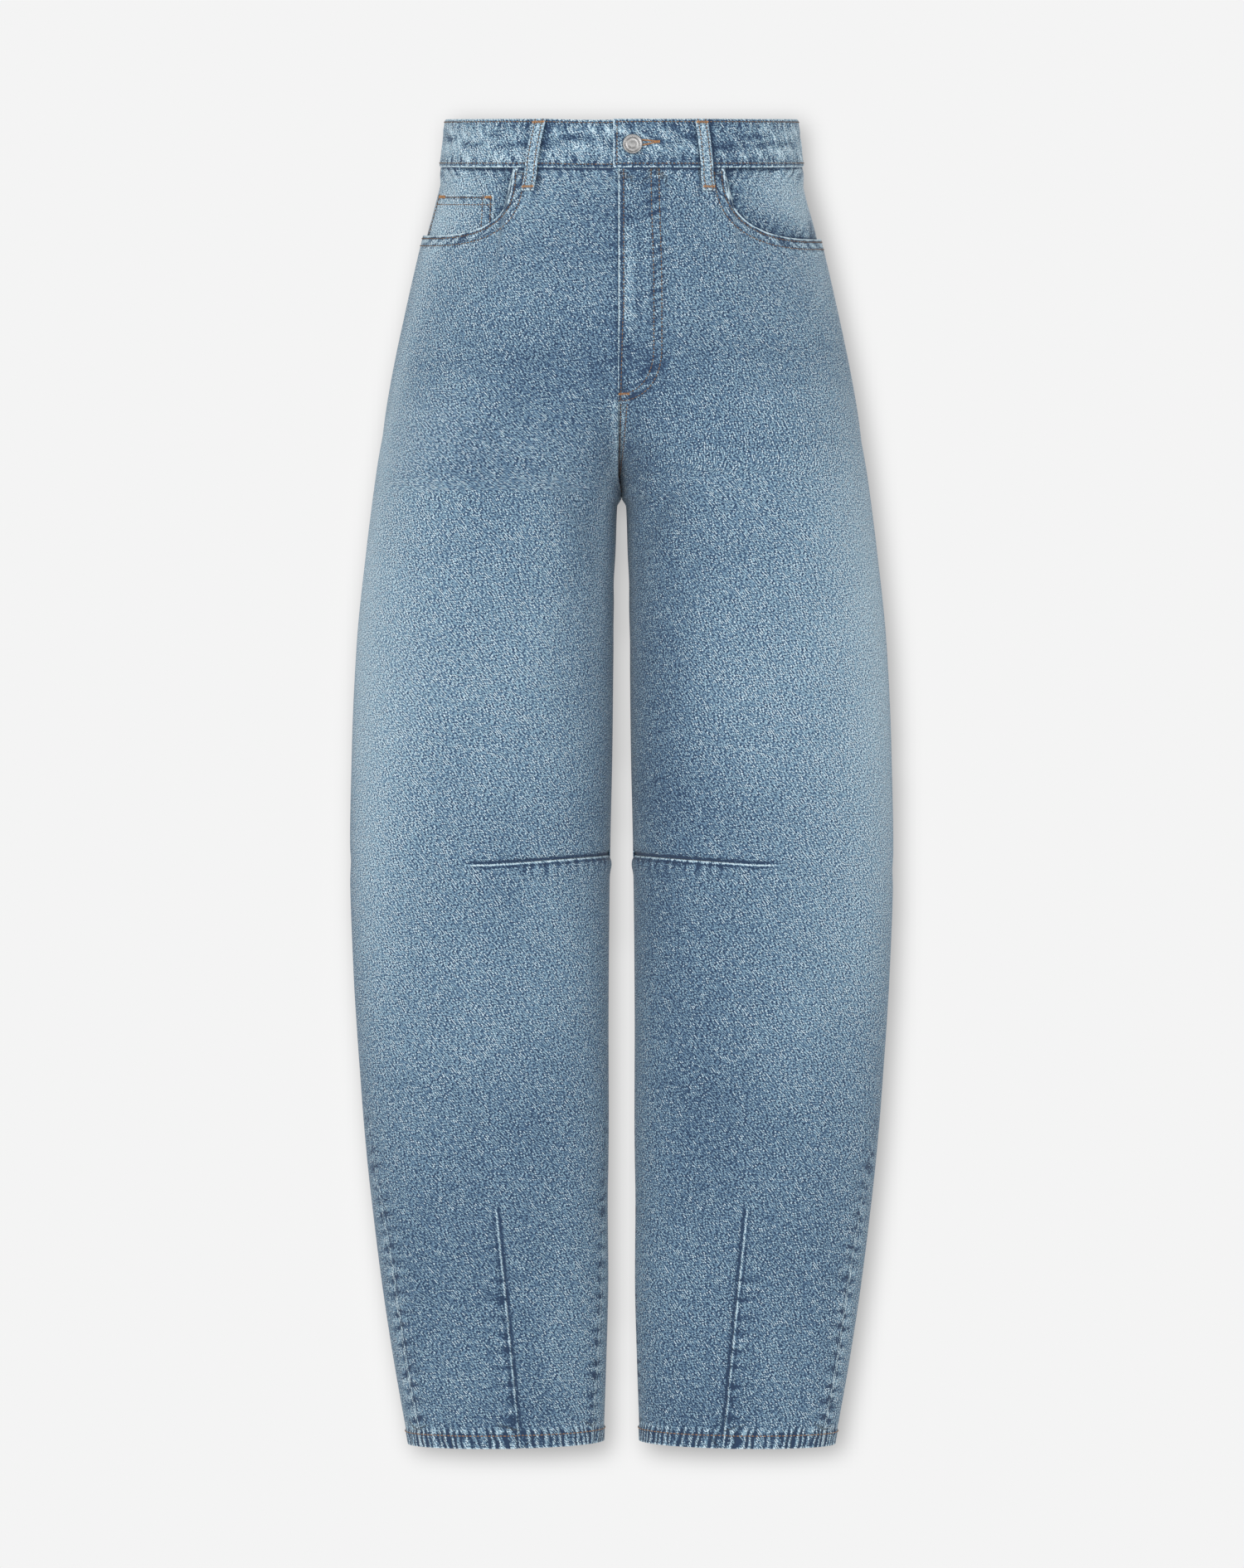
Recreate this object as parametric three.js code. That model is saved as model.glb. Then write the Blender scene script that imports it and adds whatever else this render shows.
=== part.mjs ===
// Barrel leg trousers, filled out as on a hollow figure, in millimetres.
// +Z is up, the front faces -Y, the wearer's left is +X. The origin is the centre of the waist opening.
// Every cloth piece is a shell on one body form, so a change of the form moves all that lies on it.
import * as THREE from "three";

// Driving sizes of the garment
const BAND_HEIGHT = 38;
const HEM_LEVEL = -1055;
const CROTCH_LEVEL = -301;
const WALL = 1.2;
const SEAM_GAP = 0.3;
const HEM_DEPTH = 11;
const HEM_WALL = 2.6;
const HEM_LIFT = 0.6;
const HEM_STEP = 0.5;
// The hems hang a little higher on the inner side
const HEM_RISE = 1.6;
const HEM_RISE_INSIDE = 2.6;
const HEM_RISE_FROM = -940;
const WAIST_TILT = 0.115;
const TILT_ENDS = -300;
const SECTION_POWER = 2.2;

// Levels where the two leg forms begin to part, in front and behind
const FRONT_PARTS_FROM = -150;
const BACK_PARTS_FROM = -165;

// The form, level by level: half width outside, half gap inside, depth in front and behind,
// and where the seams lie, in degrees round the leg from its outermost line towards the front
const FORM_COLUMNS = ["level", "outer", "inner", "front", "back", "outseam", "inseamRight", "inseamLeft"];
const FORM = [
  [0, 139.6, 0, 88, 78, -15, 180, 180],
  [-38, 144.2, 0, 92, 86, -15, 180, 180],
  [-90, 157.4, 0, 98, 101, -15, 180, 180],
  [-140, 169.1, 0, 102, 116, -15, 180, 180],
  [-200, 181.8, 0, 105, 126, -15, 180, 180],
  [-250, 190.4, 0, 105, 124, -15, 180, 180],
  [-301, 197.7, 0, 103, 114, -14, 180, 180],
  [-308, 198.6, 3.5, 102.7, 112.5, -13.8, 180, 180],
  [-340, 202.6, 4.6, 101, 106, -13, 180, 180],
  [-420, 210.8, 6.4, 97, 96, -12, 180, 180],
  [-500, 214.5, 7.3, 91, 87, -10, 180, 180],
  [-590, 216.1, 9.2, 82, 77, -8, 180, 180],
  [-680, 213.2, 10.2, 71, 71, -3, 178, 180],
  [-725, 210.5, 10.4, 67, 69, 2, 176, 180],
  [-760, 208, 10.3, 63.5, 67, 9, 173, 180],
  [-796, 205.3, 10.2, 60, 65, 16, 170, 179],
  [-830, 202.2, 10.5, 57, 62.5, 21.5, 167, 179],
  [-860, 198.9, 11, 54.5, 60, 26, 164, 178],
  [-920, 191.5, 10.6, 50.5, 56, 30.5, 160, 177],
  [-990, 181, 12.2, 46.5, 51, 31, 155, 175],
  [-1055, 169.6, 14.3, 44, 47, 33, 150, 173],
];

// Centre front seam: it lies a little to the wearer's right of the middle down to the fly's end
const FLY_SHIFT = -2.7;
const FLY_SHIFT_ENDS = -284;
const FLY_END = -229;
const FLY_WIDTH = 31;
const FLY_LIFT = 0.9;
const FLY_CURVE = 30;
const FLY_EDGE_SOFT = 6;

// Front pocket openings: a quarter of a rounded square from the waistband to the outseam, a little
// different right and left: inner end, length across, depth and roundness
const POCKET_MOUTHS = {
  right: { from: 84.6, span: 71.1, depth: 55.7, power: 2.73 },
  left: { from: 80.1, span: 76.9, depth: 58.7, power: 2.5 },
};
const FACING_INSET = 3.5;
const FACING_HEIGHT = 68;
const FACING_INNER_X = 72;
const FACING_UNDERLAP = 8;
const FACING_TOP_INSET = 0.5;
// The facing rises to the band's lower edge at the top, and under the outseam at the side
const FACING_BAND_RISE = { fromLevel: -56, overLevel: 14, fromShare: 0.34, overShare: 0.12 };
const FACING_SIDE_RISE = { fromShare: 0.74, overShare: 0.2, aloneFrom: 0.9 };

// Knee dart, from the inseam to the middle of the front, and hem dart, from the hem upwards
const KNEE_DART_LEVEL = -585;
const KNEE_DART_DROP = 6.4;
const KNEE_DART_SPREAD = 30;
const KNEE_DART_ENDS = 1.12;
const KNEE_DART_FADE = 0.35;
const HEM_DART_TIP = -861;
const HEM_DART_LEAN = 4.6;
const HEM_DART_FADE = 45;
const HEM_GROOVE_SHARE = 0.8;
const DART_ANGLE = 93.4;
const DART_LINE_FROM = -560;
const DART_GROOVE = 1.9;
const DART_HALF_WIDTH = 5;
const DART_SHOULDER = 6;

// Largest folds: which leg (-1 the wearer's right), middle level and angle, half length and half width in mm,
// slant of the fold's run in degrees from level, and height (minus is a trough)
const FOLD_COLUMNS = ["leg", "level", "angle", "length", "width", "slant", "height"];
const FOLDS = [
  [-1, -330, -128, 75, 14, 24, -4.5],
  [1, -336, -124, 70, 14, 20, -4.2],
  [-1, -362, -112, 80, 16, 18, -3.6],
  [1, -372, -116, 74, 15, 22, -3.8],
  [-1, -346, -100, 80, 14, 20, 3.0],
  [1, -352, -104, 76, 14, 22, 3.0],
  [-1, -574, -100, 62, 13, 10, -3.6],
  [1, -566, -96, 66, 13, -8, -3.4],
  [-1, -606, -92, 70, 14, -8, -3.2],
  [1, -612, -98, 62, 13, 8, -3.6],
  [-1, -590, -88, 60, 12, 2, 2.6],
  [1, -590, -94, 60, 12, -2, 2.6],
  [-1, -300, 128, 52, 12, -38, -2.6],
  [1, -304, 126, 50, 12, -36, -2.4],
  [-1, -640, 62, 120, 26, 78, -1.6],
  [1, -650, 58, 120, 26, 80, -1.6],
  [-1, -940, 62, 90, 15, 82, -1.8],
  [1, -950, 64, 90, 15, 84, -1.6],
  [-1, -930, -70, 90, 18, 84, -2.2],
  [1, -940, -64, 90, 18, 80, -2.2],
];
const FOLD_RADIUS = 96;

// Waistband: one strip, lapped in front with the wearer's left end on top
const BAND_LIFT = 1.0;
const BAND_WALL = 2.8;
const BAND_EDGE = 1.2;
const BAND_BEVEL = 0.5;
const BAND_END_X = -6.5;
const BAND_UNDER_X = 36;
const BAND_UNDER_INSET = 3.2;
const BAND_UNDER_FROM = 100;
const BAND_UNDER_TO = 114;

// Back yoke: depth of its seam below the waist, at the outseam and at the centre
const YOKE_SIDE_LEVEL = -71;
const YOKE_CENTRE_LEVEL = -104;

// Patch pockets behind, plain, five-sided
const PATCH_TOP_LEVEL = -124;
const PATCH_SIDE_LEVEL = -240;
const PATCH_POINT = 22;
const PATCH_INNER_X = 24;
const PATCH_OUTER_X = 152;
const PATCH_TAPER = 7;
const PATCH_WALL = 1.3;
const PATCH_GAP = 0.6;

// Coin pocket in the wearer's right front pocket
const COIN_LEFT_ANGLE = 11;
const COIN_RIGHT_X = 101.5;
const COIN_TOP_LEVEL = -59;
const COIN_BOTTOM_LEVEL = -103;
const COIN_WALL = 1.0;

// Belt loops: side of the body (x at top and bottom; y is -1 in front, 1 behind)
const LOOP_COLUMNS = ["name", "topX", "bottomX", "facing"];
const LOOPS = [
  ["belt_loop_front_right", -63.4, -73, -1],
  ["belt_loop_front_left", 61.6, 67.8, -1],
  ["belt_loop_back_right", -79, -86, 1],
  ["belt_loop_back_left", 79, 86, 1],
  ["belt_loop_back_centre", 0, 0, 1],
];
const LOOP_WIDTH = 10;
const LOOP_WALL = 2.2;
const LOOP_BEVEL = 0.5;
const LOOP_TOP_LEVEL = -0.8;
const LOOP_BOTTOM_LEVEL = -56.3;
const LOOP_STAND_OFF = 2.4;
const LOOP_ARCH_ENDS = 0.8;
const LOOP_STEP_BELOW = 1;
const LOOP_STEP_SOFT = 5;

// Button
const BUTTON_X = 8.5;
const BUTTON_LEVEL = -20.2;
const BUTTON_RADIUS = 7.8;
const SHANK_RADIUS = 3.6;

const DEG = Math.PI / 180;
const named = (columns, row) => Object.fromEntries(columns.map((name, i) => [name, row[i]]));
const clamp01 = (t) => Math.min(1, Math.max(0, t));
const smooth = (t) => clamp01(t) * clamp01(t) * (3 - 2 * clamp01(t));
const mix = (a, b, t) => a + (b - a) * t;
const signedPower = (value, power) => Math.sign(value) * Math.abs(value) ** power;

// Smooth curve through one column of the form, without overshoot between its rows
function formColumn(name) {
  const column = FORM_COLUMNS.indexOf(name);
  const levels = FORM.map((row) => row[0]);
  const values = FORM.map((row) => row[column]);
  const steps = levels.slice(1).map((level, i) => level - levels[i]);
  const slopes = steps.map((step, i) => (values[i + 1] - values[i]) / step);
  const tangents = values.map((_, i) => {
    if (i === 0) return slopes[0];
    if (i === slopes.length) return slopes[i - 1];
    if (slopes[i - 1] * slopes[i] <= 0) return 0;
    return (2 * slopes[i - 1] * slopes[i]) / (slopes[i - 1] + slopes[i]);
  });
  return (level) => {
    let i = 0;
    while (i < steps.length - 1 && level < levels[i + 1]) i += 1;
    const t = (level - levels[i]) / steps[i];
    const start = (1 + 2 * t) * (1 - t) ** 2 * values[i] + t * (1 - t) ** 2 * steps[i] * tangents[i];
    const end = t * t * (3 - 2 * t) * values[i + 1] + t * t * (t - 1) * steps[i] * tangents[i + 1];
    return start + end;
  };
}
const form = Object.fromEntries(FORM_COLUMNS.slice(1).map((name) => [name, formColumn(name)]));
const folds = FOLDS.map((row) => named(FOLD_COLUMNS, row));

// Centre and half width of one leg's section; above the crotch the two sections run into each other
function legSection(level, inFront) {
  const outer = form.outer(level);
  let share;
  if (level <= CROTCH_LEVEL) {
    const inner = form.inner(level);
    share = (outer + inner) / (outer - inner);
  } else {
    const from = inFront ? FRONT_PARTS_FROM : BACK_PARTS_FROM;
    share = smooth((from - level) / (from - CROTCH_LEVEL));
  }
  const half = outer / (1 + share);
  return { centre: outer - half, half, depth: inFront ? form.front(level) : form.back(level) };
}

// Angle where a section meets the plane x = cut
function angleAtX(level, inFront, x) {
  const { centre, half } = legSection(level, inFront);
  const cosine = Math.min(1, Math.max(-1, (x - centre) / half));
  const angle = Math.acos(signedPower(cosine, SECTION_POWER / 2));
  return inFront ? angle : -angle;
}

const seamShift = (level) =>
  mix(FLY_SHIFT, 0, smooth((FLY_SHIFT_ENDS - level) / (FLY_SHIFT_ENDS - CROTCH_LEVEL)));
const outseamAngle = (level) => form.outseam(level) * DEG;

// Inner boundary of the front and back panels: the rise seam above the crotch, the inseam below it
function innerAngle(level, leg, inFront) {
  if (level > CROTCH_LEVEL) return angleAtX(level, inFront, inFront ? leg * seamShift(level) : 0);
  const inseam = (leg < 0 ? form.inseamRight(level) : form.inseamLeft(level)) * DEG;
  return inFront ? inseam : inseam - 2 * Math.PI;
}

// Line of the hem dart, carried on up the panel as its middle column
function dartAngle(level, leg) {
  const middle = (innerAngle(level, leg, true) + outseamAngle(level)) / 2;
  const lean = HEM_DART_LEAN * clamp01((HEM_DART_TIP - level) / (HEM_DART_TIP - HEM_LEVEL));
  const below = smooth((CROTCH_LEVEL - level) / (CROTCH_LEVEL - DART_LINE_FROM));
  return mix(middle, (DART_ANGLE + lean) * DEG, below);
}

// Share of the way from the inseam to the middle column, along which the knee dart drops
function dartShare(level, angle, leg) {
  const inner = innerAngle(level, leg, true);
  return (inner - angle) / (inner - dartAngle(level, leg));
}

// Drop of the knee dart: even across the front as seen, so slow at first where the leg turns inwards
const kneeDrop = (share) => KNEE_DART_DROP * (1 - Math.cos(Math.PI / 2 * clamp01(share)));

function foldHeight(level, angle, leg) {
  let height = 0;
  for (const fold of folds) {
    if (fold.leg !== leg) continue;
    const turn = angle - fold.angle * DEG;
    const across = Math.atan2(Math.sin(turn), Math.cos(turn)) * FOLD_RADIUS;
    const up = level - fold.level;
    const c = Math.cos(fold.slant * DEG);
    const s = Math.sin(fold.slant * DEG);
    const along = across * c + up * s;
    const aside = up * c - across * s;
    height += fold.height * Math.exp(-((along / fold.length) ** 2) - (aside / fold.width) ** 2);
  }
  return height;
}

// Grooves of the two darts of a front panel
function dartDepth(level, angle, leg) {
  const share = dartShare(level, angle, leg);
  const knee = KNEE_DART_LEVEL - kneeDrop(share);
  const kneeFade = smooth((KNEE_DART_ENDS - share) / KNEE_DART_FADE);
  const kneeGroove = kneeFade * Math.exp(-(((level - knee) / DART_HALF_WIDTH) ** 2));
  const aside = (angle - dartAngle(level, leg)) * legSection(level, true).half;
  const hemFade = smooth((HEM_DART_TIP - level) / HEM_DART_FADE);
  const hemGroove = hemFade * Math.exp(-((aside / DART_HALF_WIDTH) ** 2));
  return -DART_GROOVE * (kneeGroove + HEM_GROOVE_SHARE * hemGroove);
}

// The wearer's left front laps over at the fly
function flyLift(level, x, leg) {
  if (leg < 0) return 0;
  const reach = FLY_WIDTH * Math.sqrt(clamp01((level - FLY_END) / FLY_CURVE));
  return level < FLY_END ? 0 : FLY_LIFT * smooth((reach + FLY_EDGE_SOFT - x) / FLY_EDGE_SOFT);
}

function hemRise(level, angle) {
  const inside = (1 - Math.cos(angle)) / 2;
  const low = smooth((HEM_RISE_FROM - level) / (HEM_RISE_FROM - HEM_LEVEL));
  return (HEM_RISE + HEM_RISE_INSIDE * inside * inside) * low;
}

function formPoint(level, angle, leg) {
  const inFront = Math.sin(angle) >= 0;
  const { centre, half, depth } = legSection(level, inFront);
  const x = centre + half * signedPower(Math.cos(angle), 2 / SECTION_POWER);
  const y = -depth * signedPower(Math.sin(angle), 2 / SECTION_POWER);
  const tilt = WAIST_TILT * smooth((level - TILT_ENDS) / (-BAND_HEIGHT - TILT_ENDS));
  return new THREE.Vector3(leg * x, y, level + tilt * y + hemRise(level, angle));
}

// Outward direction of the plain form
function formNormal(level, angle, leg) {
  const turn = 0.012;
  const step = 1;
  const along = formPoint(level, angle + turn, leg).sub(formPoint(level, angle - turn, leg));
  const down = formPoint(level - step, angle, leg).sub(formPoint(level + step, angle, leg));
  return along.cross(down).multiplyScalar(leg).normalize();
}

// A closed shell from a grid of {point, normal, out, inward}; its faces point out
function gridShell(rows, columns, cornerAt) {
  const positions = [];
  const outer = [];
  const inner = [];
  for (let i = 0; i < rows; i += 1) {
    for (let j = 0; j < columns; j += 1) {
      const { point, normal, out, inward } = cornerAt(i, j);
      outer.push(point.clone().addScaledVector(normal, out));
      inner.push(point.clone().addScaledVector(normal, -inward));
    }
  }
  for (const p of [...outer, ...inner]) positions.push(p.x, p.y, p.z);
  const shift = rows * columns;
  const at = (i, j) => i * columns + j;
  const faces = [];
  const quad = (a, b, c, d) => faces.push(a, b, c, a, c, d);
  for (let i = 0; i + 1 < rows; i += 1) {
    for (let j = 0; j + 1 < columns; j += 1) {
      quad(at(i, j), at(i, j + 1), at(i + 1, j + 1), at(i + 1, j));
      quad(shift + at(i, j), shift + at(i + 1, j), shift + at(i + 1, j + 1), shift + at(i, j + 1));
    }
  }
  const rim = [];
  for (let j = 0; j + 1 < columns; j += 1) rim.push(at(0, j));
  for (let i = 0; i + 1 < rows; i += 1) rim.push(at(i, columns - 1));
  for (let j = columns - 1; j > 0; j -= 1) rim.push(at(rows - 1, j));
  for (let i = rows - 1; i > 0; i -= 1) rim.push(at(i, 0));
  rim.forEach((a, k) => {
    const b = rim[(k + 1) % rim.length];
    quad(a, shift + a, shift + b, b);
  });
  return closedGeometry(positions, faces);
}

// A closed tube of equal rings of points, capped at both ends
function ringTube(rings) {
  const size = rings[0].length;
  const positions = rings.flat().flatMap((p) => [p.x, p.y, p.z]);
  const faces = [];
  for (let i = 0; i + 1 < rings.length; i += 1) {
    for (let j = 0; j < size; j += 1) {
      const a = i * size + j;
      const b = i * size + ((j + 1) % size);
      faces.push(a, b, b + size, a, b + size, a + size);
    }
  }
  const last = (rings.length - 1) * size;
  for (let j = 1; j + 1 < size; j += 1) {
    faces.push(0, j + 1, j);
    faces.push(last, last + j, last + j + 1);
  }
  return closedGeometry(positions, faces);
}

// Faces are turned outward by the sign of the enclosed volume
function closedGeometry(positions, faces) {
  const corner = (index) => new THREE.Vector3().fromArray(positions, 3 * index);
  let volume = 0;
  for (let f = 0; f < faces.length; f += 3) {
    volume += corner(faces[f]).dot(corner(faces[f + 1]).cross(corner(faces[f + 2])));
  }
  const turned = volume < 0 ? faces.map((_, k) => faces[k - (k % 3) + [0, 2, 1][k % 3]]) : faces;
  const geometry = new THREE.BufferGeometry();
  geometry.setAttribute("position", new THREE.Float32BufferAttribute(positions, 3));
  geometry.setIndex(turned);
  geometry.computeVertexNormals();
  return geometry;
}

const trousers = new THREE.Group();
trousers.name = "barrel_leg_trousers";

function addPiece(name, geometry, color, metalness = 0) {
  const material = new THREE.MeshStandardMaterial({ color, metalness, roughness: metalness ? 0.35 : 0.9 });
  const mesh = new THREE.Mesh(geometry, material);
  mesh.name = name;
  trousers.add(mesh);
}

const DENIM = 0x7f9fb4;
const DENIM_LIGHT = 0x93b0c2;
const STEEL = 0xb6b8ba;
const LEGS = [["right", -1], ["left", 1]];

// Angle that a length along the surface stands for
const angleOf = (length, level) => length / legSection(level, true).half;

// Lowest level at which the pocket mouth cuts the front panel, for a distance from the middle
function mouthLevel(x, leg) {
  const { from, span, depth, power } = leg < 0 ? POCKET_MOUTHS.right : POCKET_MOUTHS.left;
  if (x <= from) return -BAND_HEIGHT;
  return -BAND_HEIGHT - depth * (1 - clamp01((from + span - x) / span) ** power) ** (1 / power);
}

// A slanted column meets the curved mouth at a level found by small steps towards it
const SETTLE_PASSES = 30;
const SETTLE_STEP = 0.4;
function frontTopLevel(leg, angleAt) {
  let level = -BAND_HEIGHT;
  for (let pass = 0; pass < SETTLE_PASSES; pass += 1) {
    const x = Math.abs(formPoint(level, angleAt(level), leg).x);
    level = mix(level, mouthLevel(x, leg), SETTLE_STEP);
  }
  return level - SEAM_GAP / 2;
}

// Front panels: columns from the rise seam and inseam to the middle column, then on to the outseam
const INNER_SHARES = [0, 0.17, 0.31, 0.4, 0.6, 0.82];
const INNER_REACH = 0.88;
const OUTER_SHARES = [0.14, 0.28, 0.39, 0.47, 0.54, 0.62, 0.74, 0.87, 1];
const BODY_LEVELS = [
  -190, -215, -243, -262, -280, -291, -297, -301.5, -305, -312, -334, -350, -372, -400, -450, -500, -540,
  -565, -577, -581, -585, -589, -593, -602, -620, -660, -700, -730, -760, -790, -820, -845, -861,
  -892, -925, -965, -1005, -1043, -1044, -1055,
];
const DART_ROWS = [-577, -581, -589, -593];
const FRONT_LEVELS = [-38, -52, -66, -80, -95, -112, -130, -150, -170, ...BODY_LEVELS];
const MOUTH_ENDS = -150;

function frontPanel(leg) {
  const groove = (level) => angleOf(DART_SHOULDER, level);
  const columns = [
    ...INNER_SHARES.map((share) => (level, gap) => {
      const inner = innerAngle(level, leg, true) - gap;
      return mix(inner, dartAngle(level, leg) + groove(level), share / INNER_SHARES.at(-1) * INNER_REACH);
    }),
    (level) => dartAngle(level, leg) + groove(level),
    (level) => dartAngle(level, leg),
    (level) => dartAngle(level, leg) - groove(level),
    ...OUTER_SHARES.map((share) => (level, gap) =>
      mix(dartAngle(level, leg) - groove(level), outseamAngle(level) + gap, share)),
  ];
  const tops = columns.map((angleAt) =>
    frontTopLevel(leg, (level) => angleAt(level, angleOf(SEAM_GAP / 2, level))));
  return gridShell(FRONT_LEVELS.length, columns.length, (i, j) => {
    const base = FRONT_LEVELS[i];
    const down = clamp01((FRONT_LEVELS[0] - base) / (FRONT_LEVELS[0] - MOUTH_ENDS));
    let level = base > MOUTH_ENDS ? mix(tops[j], MOUTH_ENDS, down) : base;
    let angle = columns[j](level, angleOf(SEAM_GAP / 2, level));
    const drop = Math.exp(-(((base - KNEE_DART_LEVEL) / KNEE_DART_SPREAD) ** 2));
    const middle = dartAngle(level, leg);
    const outward = clamp01((middle - angle) / (middle - outseamAngle(level)));
    level -= kneeDrop(dartShare(level, angle, leg)) * drop * (1 - smooth(outward));
    angle = columns[j](level, angleOf(SEAM_GAP / 2, level));
    const point = formPoint(level, angle, leg);
    const inHem = level < HEM_LEVEL + HEM_DEPTH + HEM_STEP;
    const lift = foldHeight(level, angle, leg) + dartDepth(level, angle, leg);
    const out = lift + flyLift(level, leg * point.x, leg) + (inHem ? HEM_LIFT : 0);
    const wall = inHem ? HEM_WALL - HEM_LIFT : WALL;
    return { point, normal: formNormal(level, angle, leg), out, inward: wall - lift };
  });
}

for (const [side, leg] of LEGS) addPiece(`front_panel_${side}`, frontPanel(leg), DENIM);

// Back panels hang from the yoke seam
function yokeLevel(share) {
  return mix(YOKE_CENTRE_LEVEL, YOKE_SIDE_LEVEL, share);
}
const BACK_LEVELS = [-104, -120, -140, -165, ...BODY_LEVELS.filter((level) => !DART_ROWS.includes(level))];
const BACK_COLUMNS = 17;
const YOKE_ENDS = -190;

// The outseam of the front turns behind the leg, so the back starts where the front ends
function backAngle(level, leg, share) {
  const gap = angleOf(SEAM_GAP / 2, level);
  return mix(innerAngle(level, leg, false) + gap, outseamAngle(level) - gap, share);
}

function backPanel(leg) {
  return gridShell(BACK_LEVELS.length, BACK_COLUMNS, (i, j) => {
    const share = j / (BACK_COLUMNS - 1);
    const top = yokeLevel(share) - SEAM_GAP / 2;
    const base = BACK_LEVELS[i];
    const down = clamp01((BACK_LEVELS[0] - base) / (BACK_LEVELS[0] - YOKE_ENDS));
    const level = base > YOKE_ENDS ? mix(top, YOKE_ENDS, down) : base;
    const angle = backAngle(level, leg, share);
    const inHem = level < HEM_LEVEL + HEM_DEPTH + HEM_STEP;
    const lift = foldHeight(level, angle, leg);
    return {
      point: formPoint(level, angle, leg),
      normal: formNormal(level, angle, leg),
      out: lift + (inHem ? HEM_LIFT : 0),
      inward: (inHem ? HEM_WALL - HEM_LIFT : WALL) - lift,
    };
  });
}

for (const [side, leg] of LEGS) addPiece(`back_panel_${side}`, backPanel(leg), DENIM);

// Yokes fill the space between the waistband and the back panels
const YOKE_ROWS = 5;
function yoke(leg) {
  return gridShell(YOKE_ROWS, BACK_COLUMNS, (i, j) => {
    const share = j / (BACK_COLUMNS - 1);
    const bottom = yokeLevel(share) + SEAM_GAP / 2;
    const level = mix(-BAND_HEIGHT - SEAM_GAP / 2, bottom, i / (YOKE_ROWS - 1));
    const angle = backAngle(level, leg, share);
    return {
      point: formPoint(level, angle, leg),
      normal: formNormal(level, angle, leg),
      out: 0,
      inward: WALL,
    };
  });
}

for (const [side, leg] of LEGS) addPiece(`yoke_${side}`, yoke(leg), DENIM);

// Pocket facings: seen through the pocket mouth, lying under the front panel
const FACING_ROWS = 7;
const FACING_COLUMNS = 10;
function facing(leg) {
  return gridShell(FACING_ROWS, FACING_COLUMNS, (i, j) => {
    const down = i / (FACING_ROWS - 1);
    const share = j / (FACING_COLUMNS - 1);
    const level = mix(-BAND_HEIGHT - SEAM_GAP / 2, -BAND_HEIGHT - FACING_HEIGHT, down);
    const start = angleAtX(level, true, FACING_INNER_X);
    const angle = mix(start, outseamAngle(level) - angleOf(FACING_UNDERLAP, level), share);
    const side = FACING_SIDE_RISE;
    const band = FACING_BAND_RISE;
    const atOutseam = (FACING_INSET - WALL - SEAM_GAP) * smooth((share - side.fromShare) / side.overShare);
    const upward = smooth((level - band.fromLevel) / band.overLevel);
    const acrossShare = smooth((share - band.fromShare) / band.overShare);
    const atBand = (FACING_INSET - FACING_TOP_INSET) * upward * acrossShare;
    const rise = share > side.aloneFrom ? atOutseam : Math.max(atOutseam, atBand);
    return {
      point: formPoint(level, angle, leg),
      normal: formNormal(level, angle, leg),
      out: rise - FACING_INSET,
      inward: FACING_INSET - rise + WALL,
    };
  });
}

for (const [side, leg] of LEGS) addPiece(`pocket_facing_${side}`, facing(leg), DENIM_LIGHT);

// Coin pocket lies on the facing and runs down under the front panel
const COIN_ROWS = 6;
const COIN_COLUMNS = 8;
const coinPocket = gridShell(COIN_ROWS, COIN_COLUMNS, (i, j) => {
  const level = mix(COIN_TOP_LEVEL, COIN_BOTTOM_LEVEL, i / (COIN_ROWS - 1));
  const start = angleAtX(level, true, COIN_RIGHT_X);
  const angle = mix(start, COIN_LEFT_ANGLE * DEG, j / (COIN_COLUMNS - 1));
  return {
    point: formPoint(level, angle, -1),
    normal: formNormal(level, angle, -1),
    out: SEAM_GAP + COIN_WALL - FACING_INSET,
    inward: FACING_INSET - SEAM_GAP,
  };
});
addPiece("coin_pocket", coinPocket, DENIM_LIGHT);

// Patch pockets lie on the back panels
const PATCH_ROWS = 9;
const PATCH_COLUMNS = 11;
function patchPocket(leg) {
  return gridShell(PATCH_ROWS, PATCH_COLUMNS, (i, j) => {
    const down = i / (PATCH_ROWS - 1);
    const share = j / (PATCH_COLUMNS - 1);
    const bottom = PATCH_SIDE_LEVEL - PATCH_POINT * (1 - Math.abs(2 * share - 1));
    const level = mix(PATCH_TOP_LEVEL, bottom, down);
    const x = mix(PATCH_INNER_X + PATCH_TAPER * down, PATCH_OUTER_X - PATCH_TAPER * down, share);
    const angle = angleAtX(level, false, x);
    const lift = foldHeight(level, angle, leg);
    return {
      point: formPoint(level, angle, leg),
      normal: formNormal(level, angle, leg),
      out: lift + PATCH_GAP + PATCH_WALL,
      inward: -lift - PATCH_GAP,
    };
  });
}

for (const [side, leg] of LEGS) addPiece(`back_pocket_${side}`, patchPocket(leg), DENIM);

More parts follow.
